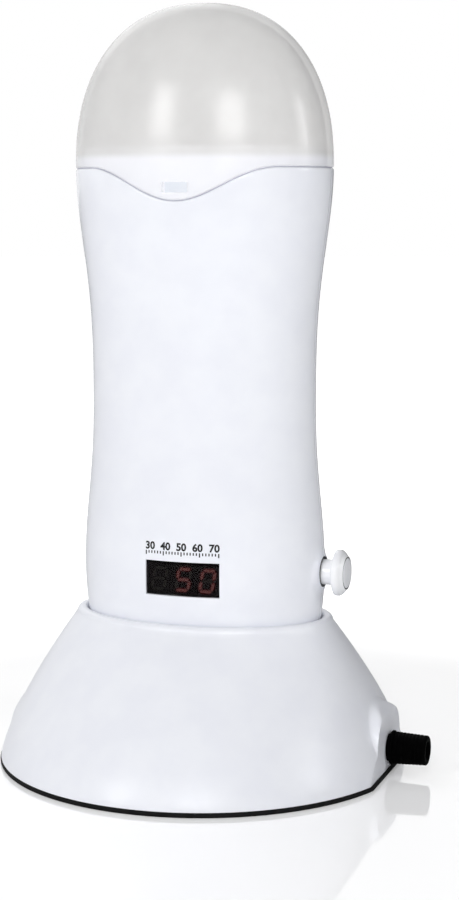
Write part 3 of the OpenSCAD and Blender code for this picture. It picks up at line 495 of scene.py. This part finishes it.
# One shell of the handset. The outer face is the oval at angle t and height z, with a rounded foot and top edge and
# a bottom that runs in to the socket's opening; the inner face lies a wall inside it. Round the knob's stem the outer
# face rises to a small flat pad.
def makeShell(name, side, holes, waved):
    o, s = outline, shell
    top = o["seam"] - s["seamGap"]
    foot = o["foot"] + s["footRound"]
    socketTurn = math.atan2(s["socket"][1] / o["depthShare"], s["socket"][0])
    start = s["partingGap"] / (o["hipWidth"] / 2 * o["depthShare"])
    turns = [start, socketTurn, math.pi - socketTurn, math.pi - start]
    heights = [foot, s["waveStart"], top - s["seamRound"]]
    for hole in holes:
        (u, v), (du, dv) = hole["middle"], hole["half"]
        heights += [v - dv, v + dv]
        if hole["axis"] == "y":
            turns += [math.acos((u - du) / float(halfWidth(v))), math.acos((u + du) / float(halfWidth(v)))]
        else:
            turns += [math.asin(du / float(halfDepth(v)))]
    t = ladder(turns, s["column"])
    wall = ladder(heights, s["row"])
    rows = s["bottomRows"]
    bend = np.linspace(0, np.pi / 2, 6)
    rowZ = np.concatenate([np.full(rows, o["foot"]), foot - s["footRound"] * np.cos(bend[1:-1]), wall,
                           top - s["seamRound"] * (1 - np.sin(bend[1:]))])
    inset = np.concatenate([np.full(rows, s["footRound"]), s["footRound"] * (1 - np.sin(bend[1:-1])), 0 * wall,
                            s["seamRound"] * (1 - np.cos(bend[1:]))])
    share = np.concatenate([np.linspace(0, 1, rows), np.ones(len(rowZ) - rows)])
    first = rows + len(bend) - 2                   # the wall's first row
    t = t[:, None] + 0 * rowZ[None, :]
    z = rowZ[None, :] + 0 * t
    if waved:
        fade = smooth((rowZ - s["waveStart"]) / (top - s["waveStart"]))
        for _ in range(4):
            z = rowZ - fade * seamDip((halfWidth(z) - inset) * np.cos(t))
    keep = np.ones((t.shape[0] - 1, t.shape[1] - 1), bool)
    blocks = []
    for hole in holes:
        (u0, v0), (du, dv), inFront = hole["middle"], hole["half"], hole["axis"] == "y"
        # a hole in the side is looked for in the columns near the parting line alone
        across = halfWidth(z) * np.cos(t) if inFront else np.where(t < 0.7, halfDepth(z) * np.sin(t), 1)
        j0, j1 = (first + int(abs(wall - k).argmin()) for k in (v0 - dv, v0 + dv))
        middleRow = (j0 + j1) // 2
        i0, i1 = (int(abs(across[:, middleRow] - k).argmin()) for k in (u0 + du, u0 - du)) if inFront else (
            0, int(abs(across[:, middleRow] - du).argmin()))
        u, v = (across - u0) / du, (z - v0) / dv
        v[i0:i1 + 1, j0], v[i0:i1 + 1, j1] = -1, 1
        u[i1, j0:j1 + 1] = -1 if inFront else 1
        if inFront:
            u[i0, j0:j1 + 1] = 1
        if hole["round"]:
            u, v = roundOut(u, v)
        near = (abs(u) < 2) & (abs(v) < 2)
        near[i0:i1 + 1, j0:j1 + 1] = True
        z = np.where(near, v0 + v * dv, z)
        x = np.clip((u0 + u * du) / (halfWidth(z) if inFront else halfDepth(z)), -1, 1)
        t = np.where(near, np.arccos(x) if inFront else np.arcsin(x), t)
        keep[i0:i1, j0:j1] = False
        blocks.append((hole, slice(i0, i1 + 1), slice(j0, j1 + 1)))

    # the bottom rows run from the socket's opening to the foot
    ringX, ringY = np.cos(t), o["depthShare"] * np.sin(t)
    reach = np.minimum(*(k / np.maximum(abs(ring), 1e-9) for k, ring in zip(s["socket"], (ringX, ringY))))
    a, b = halfWidth(z) - inset, halfDepth(z) - inset
    startX, startY = ringX * reach * (1 - share), ringY * reach * (1 - share)
    outer = np.stack([startX + a * np.cos(t) * share, side * (startY + b * np.sin(t) * share), z], -1)
    a, b = halfWidth(z) - s["wall"], halfDepth(z) - s["wall"]
    x = halfWidth(z) * np.cos(t)
    fadeAt, fadeOver = s["cornerFade"]
    x = x * (1 - (s["wall"] / halfWidth(z)) * smooth((abs(x) - fadeAt) / fadeOver))
    y = b * np.sqrt(np.clip(1 - (x / a) ** 2, 0, 1))
    lift = s["floor"] * (1 - smooth((z - o["foot"]) / s["floorRise"]))
    inner = np.stack([startX + x * share, side * (startY + y * share), z + lift], -1)
    for hole, i, j in blocks:
        inner[i, j] = outer[i, j]
        if "seat" in hole:
            inner[i, j, 1] = side * hole["seat"]
        elif hole["axis"] == "y":
            inner[i, j, 1] = side * (b * np.sqrt(np.clip(1 - (outer[..., 0] / a) ** 2, 0, 1)))[i, j]
        else:
            inner[i, j, 0] = (a * np.sqrt(np.clip(1 - (outer[..., 1] / b) ** 2, 0, 1)))[i, j]
    level, flatTo, fadeTo = s["stemPad"]
    fromStem = np.hypot(outer[..., 1], outer[..., 2] - knobHole["middle"][1])
    raised = smooth((fadeTo - fromStem) / (fadeTo - flatTo)) * (outer[..., 0] > level / 2)
    outer[..., 0] += raised * (level - outer[..., 0])
    if side < 0:
        outer, inner, keep = outer[::-1], inner[::-1], keep[::-1]
    return thickSheet(name, outer, inner, keep, bevel=s["edge"])


frontShell = makeShell("front_shell_skin", -1, [knobHole, windowHole], True)
rearShell = makeShell("rear_shell_skin", 1, [knobHole] + screwHoles, False)
dress(frontShell, "handset", "white_shell", "front_shell")
dress(rearShell, "handset", "white_shell", "rear_shell")

partingLip = lengths(deep=1.5, thick=0.4, half=0.9, low=37, high=176)


# The lip behind the left parting line is a strip that follows the wall a little inside it, so that nothing shines
# through the handset from side to side.
def makePartingLip():
    k = partingLip
    z = np.linspace(k["low"], k["high"], 60)[None, :]
    y = np.linspace(k["half"], -k["half"], 5)[:, None]
    strip = np.stack(np.broadcast_arrays(k["deep"] - halfWidth(z), y, z), -1)
    return thickSheet("parting_lip", strip, strip + np.array([k["thick"], 0, 0]), np.ones((4, 59), bool))


dress(makePartingLip(), "handset", "white_shell")
print("stage: handset shells,", len(frontShell.data.polygons), len(rearShell.data.polygons), "faces")


# The cap

cap = dict(
    lengths(wall=1.9, edge=0.12, edgeRound=0.4, row=0.9, catch=(3.87, 1.52), catchHeight=172.6,
            settle=203),               # above this height the rows are level again
    column=math.radians(1.6), domeRows=34)


# The cap: the handset's outline from the waved edge up to the seam and the dome above it, out to a closed pole. The
# rows follow the wave at the edge and level out above it.
def makeCap():
    o, c = outline, cap
    edge = o["seam"] - o["tongueHeight"]
    (du, dv), v0 = c["catch"], c["catchHeight"]
    side = math.acos(du / float(halfWidth(v0)))
    t = ladder([-math.pi, -math.pi + side, -side, 0, math.pi], c["column"])[:-1]
    wall = ladder([edge + c["edgeRound"], v0 - dv, v0 + dv, o["seam"], c["settle"]], c["row"])
    rise = math.asin(((c["settle"] - o["seam"]) / o["domeHeight"]) ** (o["domePower"] / 2))
    dome = np.sin(np.linspace(rise, np.pi / 2, c["domeRows"])[1:]) ** (2 / o["domePower"])
    dome = o["seam"] + o["domeHeight"] * dome
    bend = np.linspace(0, np.pi / 2, 5)[:-1]
    rowZ = np.concatenate([edge + c["edgeRound"] * (1 - np.cos(bend)), wall, dome])
    inset = np.concatenate([c["edgeRound"] * (1 - np.sin(bend)), 0 * wall, 0 * dome])
    t = t[:, None] + 0 * rowZ[None, :]
    z = rowZ[None, :] + 0 * t
    fade = 1 - smooth((rowZ - edge) / (c["settle"] - edge))
    for _ in range(4):
        z = rowZ + fade * (o["tongueHeight"] - np.where(t < 0, seamDip((halfWidth(z) - inset) * np.cos(t)), 0))
    j0, j1 = (4 + int(abs(wall - k).argmin()) for k in (v0 - dv, v0 + dv))
    i0, i1 = (int(abs(t[:, 0] - k).argmin()) for k in (-math.pi + side, -side))
    z[i0:i1 + 1, j0], z[i0:i1 + 1, j1] = v0 - dv, v0 + dv
    t[i0, j0:j1 + 1] = -np.arccos(-du / halfWidth(z[i0, j0:j1 + 1]))
    t[i1, j0:j1 + 1] = -np.arccos(du / halfWidth(z[i1, j0:j1 + 1]))
    keep = np.ones((t.shape[0], t.shape[1] - 1), bool)
    keep[i0:i1, j0:j1] = False
    outer = np.stack([(halfWidth(z) - inset) * np.cos(t), (halfDepth(z) - inset) * np.sin(t), z], -1)
    half = o["shoulderWidth"] / 2
    a, b = halfWidth(z) * (1 - c["wall"] / half), halfDepth(z) * (1 - c["wall"] / (half * o["depthShare"]))
    above = np.maximum(z - o["seam"], 0)
    inner = np.stack([a * np.cos(t), b * np.sin(t), z - above * c["wall"] / o["domeHeight"]], -1)
    i, j = slice(i0, i1 + 1), slice(j0, j1 + 1)
    inner[i, j] = outer[i, j]
    inner[i, j, 1] = -(b * np.sqrt(np.clip(1 - (outer[..., 0] / a) ** 2, 0, 1)))[i, j]
    return thickSheet("cap_dome", outer, inner, keep, wrap=True, bevel=c["edge"])


capDome = makeCap()
dress(capDome, "cap", "frosted_cap", "cap")
capDome.visible_shadow = capDome.visible_diffuse = False    # light falls through frosted plastic on the neck


lip = lengths(inset=(0.45, 1.1), drop=(0.42, 0.04))


# The lip lies just inside the seam and follows its wave in front; its grey is painted shade of the seam's gap
def makeSeamShadeLip():
    turn = np.linspace(0, 2 * np.pi, 288, endpoint=False)[:, None]
    (out, deep), (low, high) = lip["inset"], lip["drop"]
    inset, drop = np.array([[out, out, deep, deep]]), np.array([[low, high, high, low]])
    x = (outline["shoulderWidth"] / 2 - inset) * np.cos(turn)
    z = outline["seam"] - drop - np.where(np.sin(turn) < 0, seamDip(x), 0)
    grid = np.stack([(halfWidth(z) - inset) * np.cos(turn), (halfDepth(z) - inset) * np.sin(turn), z], -1)
    return closedSurface("seam_shade_lip", grid, ring=True)


# the lip's grey is painted shade in the seam under the cap
dress(makeSeamShadeLip(), "handset", "white_neck", paint="seam_shade_grey")


# Neck collar and heating chamber, seen when the cap is off

# Quarter round of radius r about a corner: its places along and up as shares of the turn from a to b, in degrees
def corner(r, a, b, steps=4):
    turn = np.radians(np.linspace(a, b, steps + 1))
    return r * np.cos(turn), r * np.sin(turn)


neck = lengths(inset=2.5, wall=2.0, bottom=164.5, top=184.5, deckTop=178, deck=175, bay=(27, 15.5), round=0.7,
               rimRound=0.3, deckRound=0.4)


# The collar's section goes up its outside, over a rounded rim, down to the deck, in to the bay and back underneath
def makeNeck():
    k = neck
    r = k["round"]
    up = np.linspace(k["bottom"], k["top"] - r, 18)
    c, s = corner(r, 0, 90)
    outerInset, innerInset = k["inset"], k["inset"] + k["wall"]
    insets = np.concatenate([np.full(18, outerInset), outerInset + r - c[1:], [innerInset - k["rimRound"]],
                             [innerInset] * 2])
    heights = np.concatenate([up, k["top"] - r + s[1:], [k["top"], k["top"] - k["rimRound"], k["deckTop"]]])
    deckZ = [k["deckTop"], k["deckTop"] - k["deckRound"], k["deck"]]
    under = np.array([k["deck"], k["bottom"]])
    halves = [np.concatenate([half(heights) - insets, [opening + k["deckRound"], opening, opening],
                              half(under) - innerInset])
              for half, opening in zip((halfWidth, halfDepth), k["bay"])]
    return closedSurface("neck_collar_skin", ovalGrid((*halves, np.concatenate([heights, deckZ, under]))), ring=True)


dress(makeNeck(), "handset", "white_neck", "neck_collar")

bay = lengths(half=(27, 15.5), wall=1.2, floor=2, bottom=72, top=175, flange=(4.6, 2.2), flangeThick=1.2, round=1.5,
              lipRound=0.2, ring=(9, 7))


# The chamber is a cup: its section runs from a pole below, up the outside, over the flange and down to a pole inside
def makeChamber():
    k = bay
    w, r = k["wall"], k["round"]
    c, s = corner(r, -90, 0, 5)
    floor = k["bottom"] + k["floor"]
    sides = np.linspace(k["top"], floor + r, 12)
    halves = [half + np.concatenate([[-half, -ring, w - r], w - r + c[1:], [w, w + flange, w + flange, k["lipRound"]],
                                     0 * sides, -r + c[::-1][1:], [-ring, -half]])
              for half, ring, flange in zip(k["half"], k["ring"], k["flange"])]
    heights = np.concatenate([[k["bottom"]] * 3, k["bottom"] + r + s[1:],
                              [k["top"] - k["flangeThick"]] * 2 + [k["top"]] * 2, sides,
                              floor + r + s[::-1][1:], [floor] * 2])
    return closedSurface("heating_chamber_skin", ovalGrid((*halves, heights)))


dress(makeChamber(), "handset", "chamber", "heating_chamber")
print("stage: cap, neck and chamber")


# Display window and the scale printed above it

pane = lengths(half=(11.25, 5.0), middle=(1.4, 59), inset=0.3, back=-20.0, edge=0.15)


# How far the handset's front lies forward at x and z
def frontDepth(x, z):
    return halfDepth(z) * np.sqrt(np.clip(1 - (x / halfWidth(z)) ** 2, 0, 1))


# The pane's face is the handset's own curve set back a little, and its back is flat
def makePane():
    x, z = np.meshgrid(*(middle + np.linspace(-1, 1, count) * half
                         for middle, half, count in zip(pane["middle"], pane["half"], (25, 11))), indexing="ij")
    outer = np.stack([x, -frontDepth(x, z) + pane["inset"], z], -1)
    inner = np.stack([x, 0 * x + pane["back"], z], -1)
    return thickSheet("display_pane", outer, inner, np.ones((24, 10), bool), bevel=pane["edge"])


dress(makePane(), "handset", "smoked_window", "display_window")

digits = dict(lengths(middle=(0.8, 58.25), pitch=7.5, height=7.1, width=4.6, stroke=0.78, gap=0.14, face=-19.93,
                      thick=0.2, glow=0.38, glowFace=-19.8), slant=10.0)
# middles of the strokes in half digits, and whether they lie flat
strokePlaces = np.array([[0, 1, 1], [1, 0.5, 0], [1, -0.5, 0], [0, -1, 1], [-1, -0.5, 0], [-1, 0.5, 0], [0, 0, 1]])


# Six-cornered strokes, each from a grid of two by three corners in front and the same behind, leaning by the slant
def makeStrokes(name, shown, face, grow=0.0):
    k = digits
    points, faces = [], []
    for place, strokes in shown:
        for u, v, flat in strokePlaces[strokes]:
            half = k["stroke"] / 2 + grow
            reach = ((k["width"] if flat else k["height"] / 2) - k["stroke"]) / 2 - k["gap"] + grow
            along = np.array([-reach, half - reach, reach - half, reach, reach - half, half - reach])
            across = np.array([0, -half, -half, 0, half, half])
            x, z = (along, across) if flat else (across, along)
            x = x + u * (k["width"] - k["stroke"]) / 2
            z = z + v * (k["height"] - k["stroke"]) / 2
            x = x + z * math.tan(math.radians(k["slant"])) + k["middle"][0] + (place - 1) * k["pitch"]
            base = len(points) * 12
            points.append(np.concatenate([np.column_stack([x, 0 * x + y, z + k["middle"][1]])
                                          for y in (face, face + k["thick"])]))
            sides = [[j, (j + 1) % 6, (j + 1) % 6 + 6, j + 6] for j in range(6)]
            faces += (base + np.array([[0, 1, 2, 3], [0, 3, 4, 5], [9, 8, 7, 6], [11, 10, 9, 6]] + sides)).tolist()
    return putMesh(name, np.concatenate(points), np.array(faces), turnOut=True)


five, zero = [0, 5, 6, 2, 3], [0, 1, 2, 3, 4, 5]
dress(makeStrokes("lit_strokes", [(1, five), (2, zero)], digits["face"]), "handset", "lit_red", "lit_digits")
dress(makeStrokes("unlit_strokes", [(0, list(range(7))), (1, [1, 4]), (2, [6])], digits["face"]),
      "handset", "unlit_grey", "unlit_digit")
dress(makeStrokes("stroke_glow", [(1, five), (2, zero)], digits["glowFace"], digits["glow"]),
      "handset", "lit_red", paint="red_glow")

scale = dict(lengths(middle=1.4, half=11.2, low=65.8, tick=0.8, longTick=1.25, line=0.36, size=3.1, bold=0.11,
                     numberHalf=9.9, numberLow=67.5, ink=0.03),
             count=25, longEvery=6, numbers=("30", "40", "50", "60", "70"))


# Points of the print laid on the front: x and z stay, and y is the front's curve less the ink's thickness
def inkOn(x, z, lift):
    return np.stack([x, -frontDepth(x, z) - lift, z], -1)


# A row of ticks, every sixth one long, as small raised bars
def makeTicks():
    k = scale
    x = k["middle"] + np.linspace(-1, 1, k["count"]) * k["half"]
    tall = np.where(np.arange(k["count"]) % k["longEvery"] == 0, k["longTick"], k["tick"])
    sideways = np.array([-1, 1, 1, -1]) * k["line"] / 2
    upward = np.array([0, 0, 1, 1])
    px = (x[:, None] + sideways).ravel()
    pz = (k["low"] + k["longTick"] - tall[:, None] * (1 - upward)).ravel()
    front, back = inkOn(px, pz, k["ink"]), inkOn(px, pz, -k["ink"])
    base = np.arange(k["count"])[:, None, None] * 4
    n = len(px)
    box = np.array([[0, 1, 2, 3], [n + 3, n + 2, n + 1, n], [1, 0, n, n + 1], [2, 1, n + 1, n + 2],
                    [3, 2, n + 2, n + 3], [0, 3, n + 3, n]])
    return putMesh("scale_ticks", np.concatenate([front, back]), (base + box).reshape(-1, 4))


# Numbers in Blender's own plain face, made a mesh and laid on the front
def makeNumbers():
    k = scale
    built = bmesh.new()
    for place, label in zip(np.linspace(-1, 1, len(k["numbers"])) * k["numberHalf"], k["numbers"]):
        text = bpy.data.curves.new("number", "FONT")
        text.body, text.size, text.extrude = label, k["size"], k["ink"]
        text.align_x = "CENTER"
        text.offset = k["bold"]
        text.resolution_u = 3
        holder = bpy.data.objects.new("number", text)
        scene.collection.objects.link(holder)
        flat = bpy.data.meshes.new_from_object(holder.evaluated_get(bpy.context.evaluated_depsgraph_get()))
        co = np.zeros(len(flat.vertices) * 3, np.float32)
        flat.vertices.foreach_get("co", co)
        co = co.reshape(-1, 3).astype(float)
        x = co[:, 0] + k["middle"] + place
        laid = inkOn(x, co[:, 1] + k["numberLow"], np.sign(co[:, 2]) * k["ink"])
        flat.vertices.foreach_set("co", laid.astype(np.float32).ravel())
        built.from_mesh(flat)
        bpy.data.objects.remove(holder)
    bmesh.ops.remove_doubles(built, verts=built.verts, dist=1e-6)
    bmesh.ops.recalc_face_normals(built, faces=built.faces)
    data = bpy.data.meshes.new("scale_numbers")
    built.to_mesh(data)
    built.free()
    made = bpy.data.objects.new("scale_numbers", data)
    scene.collection.objects.link(made)
    return made


dress(makeTicks(), "handset", "black_plastic", paint="ink")
dress(makeNumbers(), "handset", "black_plastic", paint="ink")
print("stage: display and scale")


# Knob

knob = lengths(height=59.4, side=37.699, gap=4.1, thick=3.4, radius=6.85, stem=3.8, stemIn=3.9, flat=1.55, slope=1.65,
               face=4.45, groove=0.35, rimIn=0.85, rimDrop=0.85, recess=1.0, proud=0.15,
               washer=(4.0, 4.58), washerReach=(35.6, 38.12), line=(4.47, 4.78), lineDrop=0.03)
knobEnd = knob["side"] + knob["gap"] + knob["thick"]
knobPocket = knobEnd - knob["recess"]


# Radii and places along X of a profile. Each row is a radius, how far outside it the point lies in millimetres, a
# place along X, and how far past that in millimetres.
def offsets(rows):
    return np.array([(radius + out * mm, x + along * mm) for radius, out, x, along in rows]).T


# The knob is a profile turned round its axis: stem, back of the head, rim, chamfer, face ring and the recess in it
def makeKnob():
    k = knob
    root, head, stem, edge = k["side"] - k["stemIn"], k["side"] + k["gap"], k["stem"], k["radius"]
    flat, rim, rimX = head + k["flat"], edge - k["rimIn"], knobEnd - k["rimDrop"]
    ring, groove = edge - k["slope"], k["face"] + k["groove"]
    return closedSurface("knob_head", latheGrid(offsets([
        (0, 0, root, 0), (stem, -0.3, root, 0), (stem, 0, root, 0.3), (stem, 0, k["side"], 0), (stem, 0, head, -0.5),
        (stem, 0.15, head, -0.15), (stem, 0.5, head, 0), (edge, -0.5, head, 0), (edge, -0.15, head, 0.15),
        (edge, 0, head, 0.5), (edge, 0, flat, -0.2), (edge, -0.08, flat, 0.1), (edge, -0.35, flat, 0.5),
        (rim, 0.05, rimX, -0.05), (rim, -0.15, rimX, 0.02), (rim, -0.25, rimX, 0.2), (ring, 0.05, knobEnd, -0.2),
        (ring, -0.05, knobEnd, -0.06), (ring, -0.15, knobEnd, 0), (groove, 0.05, knobEnd, 0),
        (groove, 0, knobEnd, -0.05), (groove, 0, knobPocket, 0), (0, 0, knobPocket, 0)]), k["height"], 120))


# The disc let into the knob's face, a little proud and very slightly domed
def makeKnobFace():
    r, top = knob["face"], knobEnd + knob["proud"]
    return closedSurface("knob_disc", latheGrid(offsets([
        (0, 0, knobPocket, 0), (r, 0, knobPocket, 0), (r, 0, top, -0.15), (r, -0.12, top, -0.04),
        (r * 0.7, 0, top, -0.02), (r * 0.35, 0, top, -0.01), (0, 0, top, 0)]), knob["height"]))


# The black washer in the hole round the stem, a short tube with a rounded lip; its black is partly its own and partly
# painted shade of the gap round the stem
def makeWasherAndShade():
    (inner, outer), (start, end) = knob["washer"], knob["washerReach"]
    return closedSurface("stem_washer_and_shade", latheGrid(offsets([
        (inner, 0, start, 0), (outer, 0, start, 0), (outer, 0, end, -0.1), (outer, -0.1, end, 0), (inner, 0.1, end, 0),
        (inner, 0, end, -0.1)]), knob["height"]), ring=True)


# The black ring round the disc in the knob's face: painted shade of the groove beside the proud disc
def makeFaceShadeLine():
    (inner, outer), end = knob["line"], knobEnd - knob["lineDrop"]
    profile = np.array([(inner, knobPocket), (outer, knobPocket), (outer, end), (inner, end)]).T
    return closedSurface("knob_face_shade_line", latheGrid(profile, knob["height"]), ring=True)


# the washer's black: partly its own colour, partly painted shade of the gap round the stem
dress(makeWasherAndShade(), "handset", "black_plastic")
# the face ring's black is painted shade of the groove round the disc
dress(makeFaceShadeLine(), "knob", "black_plastic")
dress(makeKnob(), "knob", "white_knob", "knob")
dress(makeKnobFace(), "knob", "knob_grey", "knob_face")


# Base

base = dict(
    lengths(foot=62, padTop=1.5, slopeTop=43.9, top=45.5, rim=3, seatGap=0.6, seatFloor=33.5, floor=2.4, wall=2.4,
            bossHalf=13, bossBend=20, bossBendHeight=6,
            bossSpring=(7, 9), bossReach=(60.6, 62.4), bossBlend=(7, 1.5),     # left, right
            flat=58.5, flatHalf=24, flatEdge=0.15, flatTop=20,
            fineTop=24, rows=(0.5, 1.2),       # rows are closer together below this height
            sleeveTop=38, sleeve=3, cavityTop=40.7, pole=(20, 12)),
    slopePower=1.35, flatColumns=121, columns=180)


# Half width and half depth of the base's outside at height z: the rim's oval spreads to the round foot, fast below
def baseHalves(z):
    k = base
    rims = [float(f(np.array(k["top"]))) + k["seatGap"] + k["rim"] for f in (halfWidth, halfDepth)]
    spread = 1 - np.clip((z - k["padTop"]) / (k["slopeTop"] - k["padTop"]), 0, 1) ** k["slopePower"]
    return [rim + (k["foot"] - rim) * spread for rim in rims]


# The boss at each side adds what its rounded end stands proud of the slope, faded out round its arch
def bossProud(x, y, z):
    k = base
    r = np.hypot(x, y)
    spring, out, blend = (np.where(x < 0, *k[part]) for part in ("bossSpring", "bossReach", "bossBlend"))
    reach = np.minimum(k["foot"], (out - k["bossBend"] + np.sqrt(np.clip(
        k["bossBend"] ** 2 - np.maximum(z - k["bossBendHeight"], 0) ** 2, 0, None))) * r / np.maximum(abs(x), 1e-6))
    inside = k["bossHalf"] - np.hypot(y, np.maximum(z - spring, 0))
    return np.maximum(reach - r, 0) * smooth(inside / blend + 0.3)


# The base: its slope, rounded rim, seat and seat floor to a pole, then the under side from a pole back to the foot
def makeBase():
    k = base
    slope = np.concatenate([ladder([k["padTop"], k["fineTop"]], k["rows"][0]),
                            ladder([k["fineTop"], k["slopeTop"]], k["rows"][1])[1:]])
    flatTurn = np.arcsin(k["flatHalf"] / baseHalves(slope)[1])
    across = np.linspace(-1, 1, k["flatColumns"])[:, None] * flatTurn
    around = flatTurn + np.linspace(0, 1, k["columns"])[1:-1, None] * (2 * np.pi - 2 * flatTurn)
    t = np.concatenate([across, around])
    a, b = baseHalves(slope)
    x, y, z = a * np.cos(t), b * np.sin(t), slope + 0 * t
    grow = 1 + bossProud(x, y, z) / np.hypot(x, y)
    x, y = x * grow, y * grow
    cut = (x + k["flat"] - np.sqrt((x - k["flat"]) ** 2 + k["flatEdge"] ** 2)) / 2
    x = np.where(x > k["flat"] - 3 * mm, cut, x)
    outside = np.stack([x, y, z], -1)

    top = t[:, -1:]
    rimA, rimB = (float(f(np.array(k["top"]))) + k["seatGap"] for f in (halfWidth, halfDepth))
    c, s = corner(1, 0, 90, 6)
    rimOut = np.concatenate([k["rim"] / 2 * (1 + c[1:]), [0.55 * mm, 0.2 * mm, 0]])
    rimZ = np.concatenate([k["slopeTop"] + (k["top"] - k["slopeTop"]) * s[1:],
                           k["top"] - np.array([0, 0.15, 0.55]) * mm])
    seatZ = np.linspace(k["top"] - 1.5 * mm, k["seatFloor"], 8)
    under = k["seatFloor"] - k["floor"]
    cavityZ = np.linspace(k["cavityTop"], k["padTop"], 12)
    sleeveZ = np.array([under, k["sleeveTop"]])
    halves = [np.concatenate([rim + rimOut, half(seatZ) + k["seatGap"], [pole, 0, 0, pole], half(sleeveZ) + k["sleeve"],
                              cavity - k["wall"]])
              for rim, half, pole, cavity in zip((rimA, rimB), (halfWidth, halfDepth), k["pole"], baseHalves(cavityZ))]
    profileZ = np.concatenate([rimZ, seatZ, [k["seatFloor"]] * 2 + [under] * 2, sleeveZ, cavityZ])
    ring = np.stack([halves[0] * np.cos(top), halves[1] * np.sin(top), profileZ + 0 * top], -1)
    flatInside = k["flat"] - k["wall"]
    ring[..., 0] = np.where(profileZ < k["flatTop"], np.minimum(ring[..., 0], flatInside), ring[..., 0])
    return closedSurface("base_skin", np.concatenate([outside, ring], 1), ring=True)


dress(makeBase(), "base", "white_shell", "base_shell", paint="white_base")


# Gland and pad

gland = lengths(height=7.7, start=58.3, root=59.3, end=70.3, neck=4.1, radius=5.1, tip=4.4, bore=2.6, boreDepth=10,
                ringPitch=2.1, ringDepth=0.18, taperStart=0.25)


# The gland is a profile turned round its axis: neck, collar, tapering barrel with shallow rings, lip and bore
def makeGland():
    k = gland
    root, end, radius, tip, bore = k["root"], k["end"], k["radius"], k["tip"], k["bore"]
    x = np.linspace(root + 1.2 * mm, end - 1.1 * mm, 40)
    taper = radius - k["taperStart"] + (tip - radius + k["taperStart"]) * (x - root) / (end - root)
    rings = k["ringDepth"] * np.cos(2 * np.pi * (x - x[0]) / k["ringPitch"]) ** 8
    inBore = end - k["boreDepth"]
    profile = np.concatenate([
        offsets([(0, 0, k["start"], 0), (k["neck"], 0, k["start"], 0), (k["neck"], 0, root, -0.1),
                 (radius, -0.25, root, 0), (radius, 0, root, 0.25), (radius, 0, root, 0.8)]),
        [taper - rings, x],
        offsets([(tip, 0, end, -0.9), (tip, 0, end, -0.3), (tip, -0.3, end, 0), (bore, 0.3, end, 0),
                 (bore, 0, end, -0.3), (bore, 0, inBore, 0), (0, 0, inBore, 0)])], 1)
    return closedSurface("gland_barrel", latheGrid(profile, k["height"]))


dress(makeGland(), "base", "black_gland", "cord_gland")

pad = lengths(radius=62.3, flat=58.8, thick=1.5, round=0.35, groovePitch=5, grooveDepth=0.5, middle=2, rim=(1.5, 4))


# The pad is a disc turned round Z, with round grooves in its under side every few millimetres. Every column is drawn
# in to the flat at the gland.
def makePad():
    k = pad
    r = np.linspace(0, k["radius"] - k["rim"][0], 200)
    under = k["grooveDepth"] * np.clip(np.cos(2 * np.pi * r / k["groovePitch"]), 0, 1) ** 2 * (r > k["middle"])
    c, s = corner(k["round"], -90, 90, 8)
    edge = k["radius"] - k["round"] + c
    rise = k["thick"] / 2 + s * (k["thick"] / 2 / k["round"])
    radii = np.concatenate([r, edge, [k["radius"] - k["rim"][1], 0]])
    heights = np.concatenate([under, rise, [k["thick"]] * 2])
    grid = ovalGrid((radii, radii, heights), 240)
    along = grid[:, len(r) + 8:len(r) + 9, 0]
    grid[..., :2] *= np.minimum(1, k["flat"] / np.maximum(along, k["flat"]))[..., None]
    return closedSurface("pad_disc", grid)


dress(makePad(), "base", "pad_rubber", "non_slip_pad")
print("stage: knob, base, gland and pad")


# The frame's other pieces keep their solids and get their slots' finishes

slotOf = {row["node"]: row["material_slot"] for row in frame["record"]["subparts"]}
for nodeName, thing in frame["nodes"].items():
    thing.data.materials.clear()
    thing.data.materials.append(finishes[slotOf[nodeName]])
print("stage: carried over pieces finished")
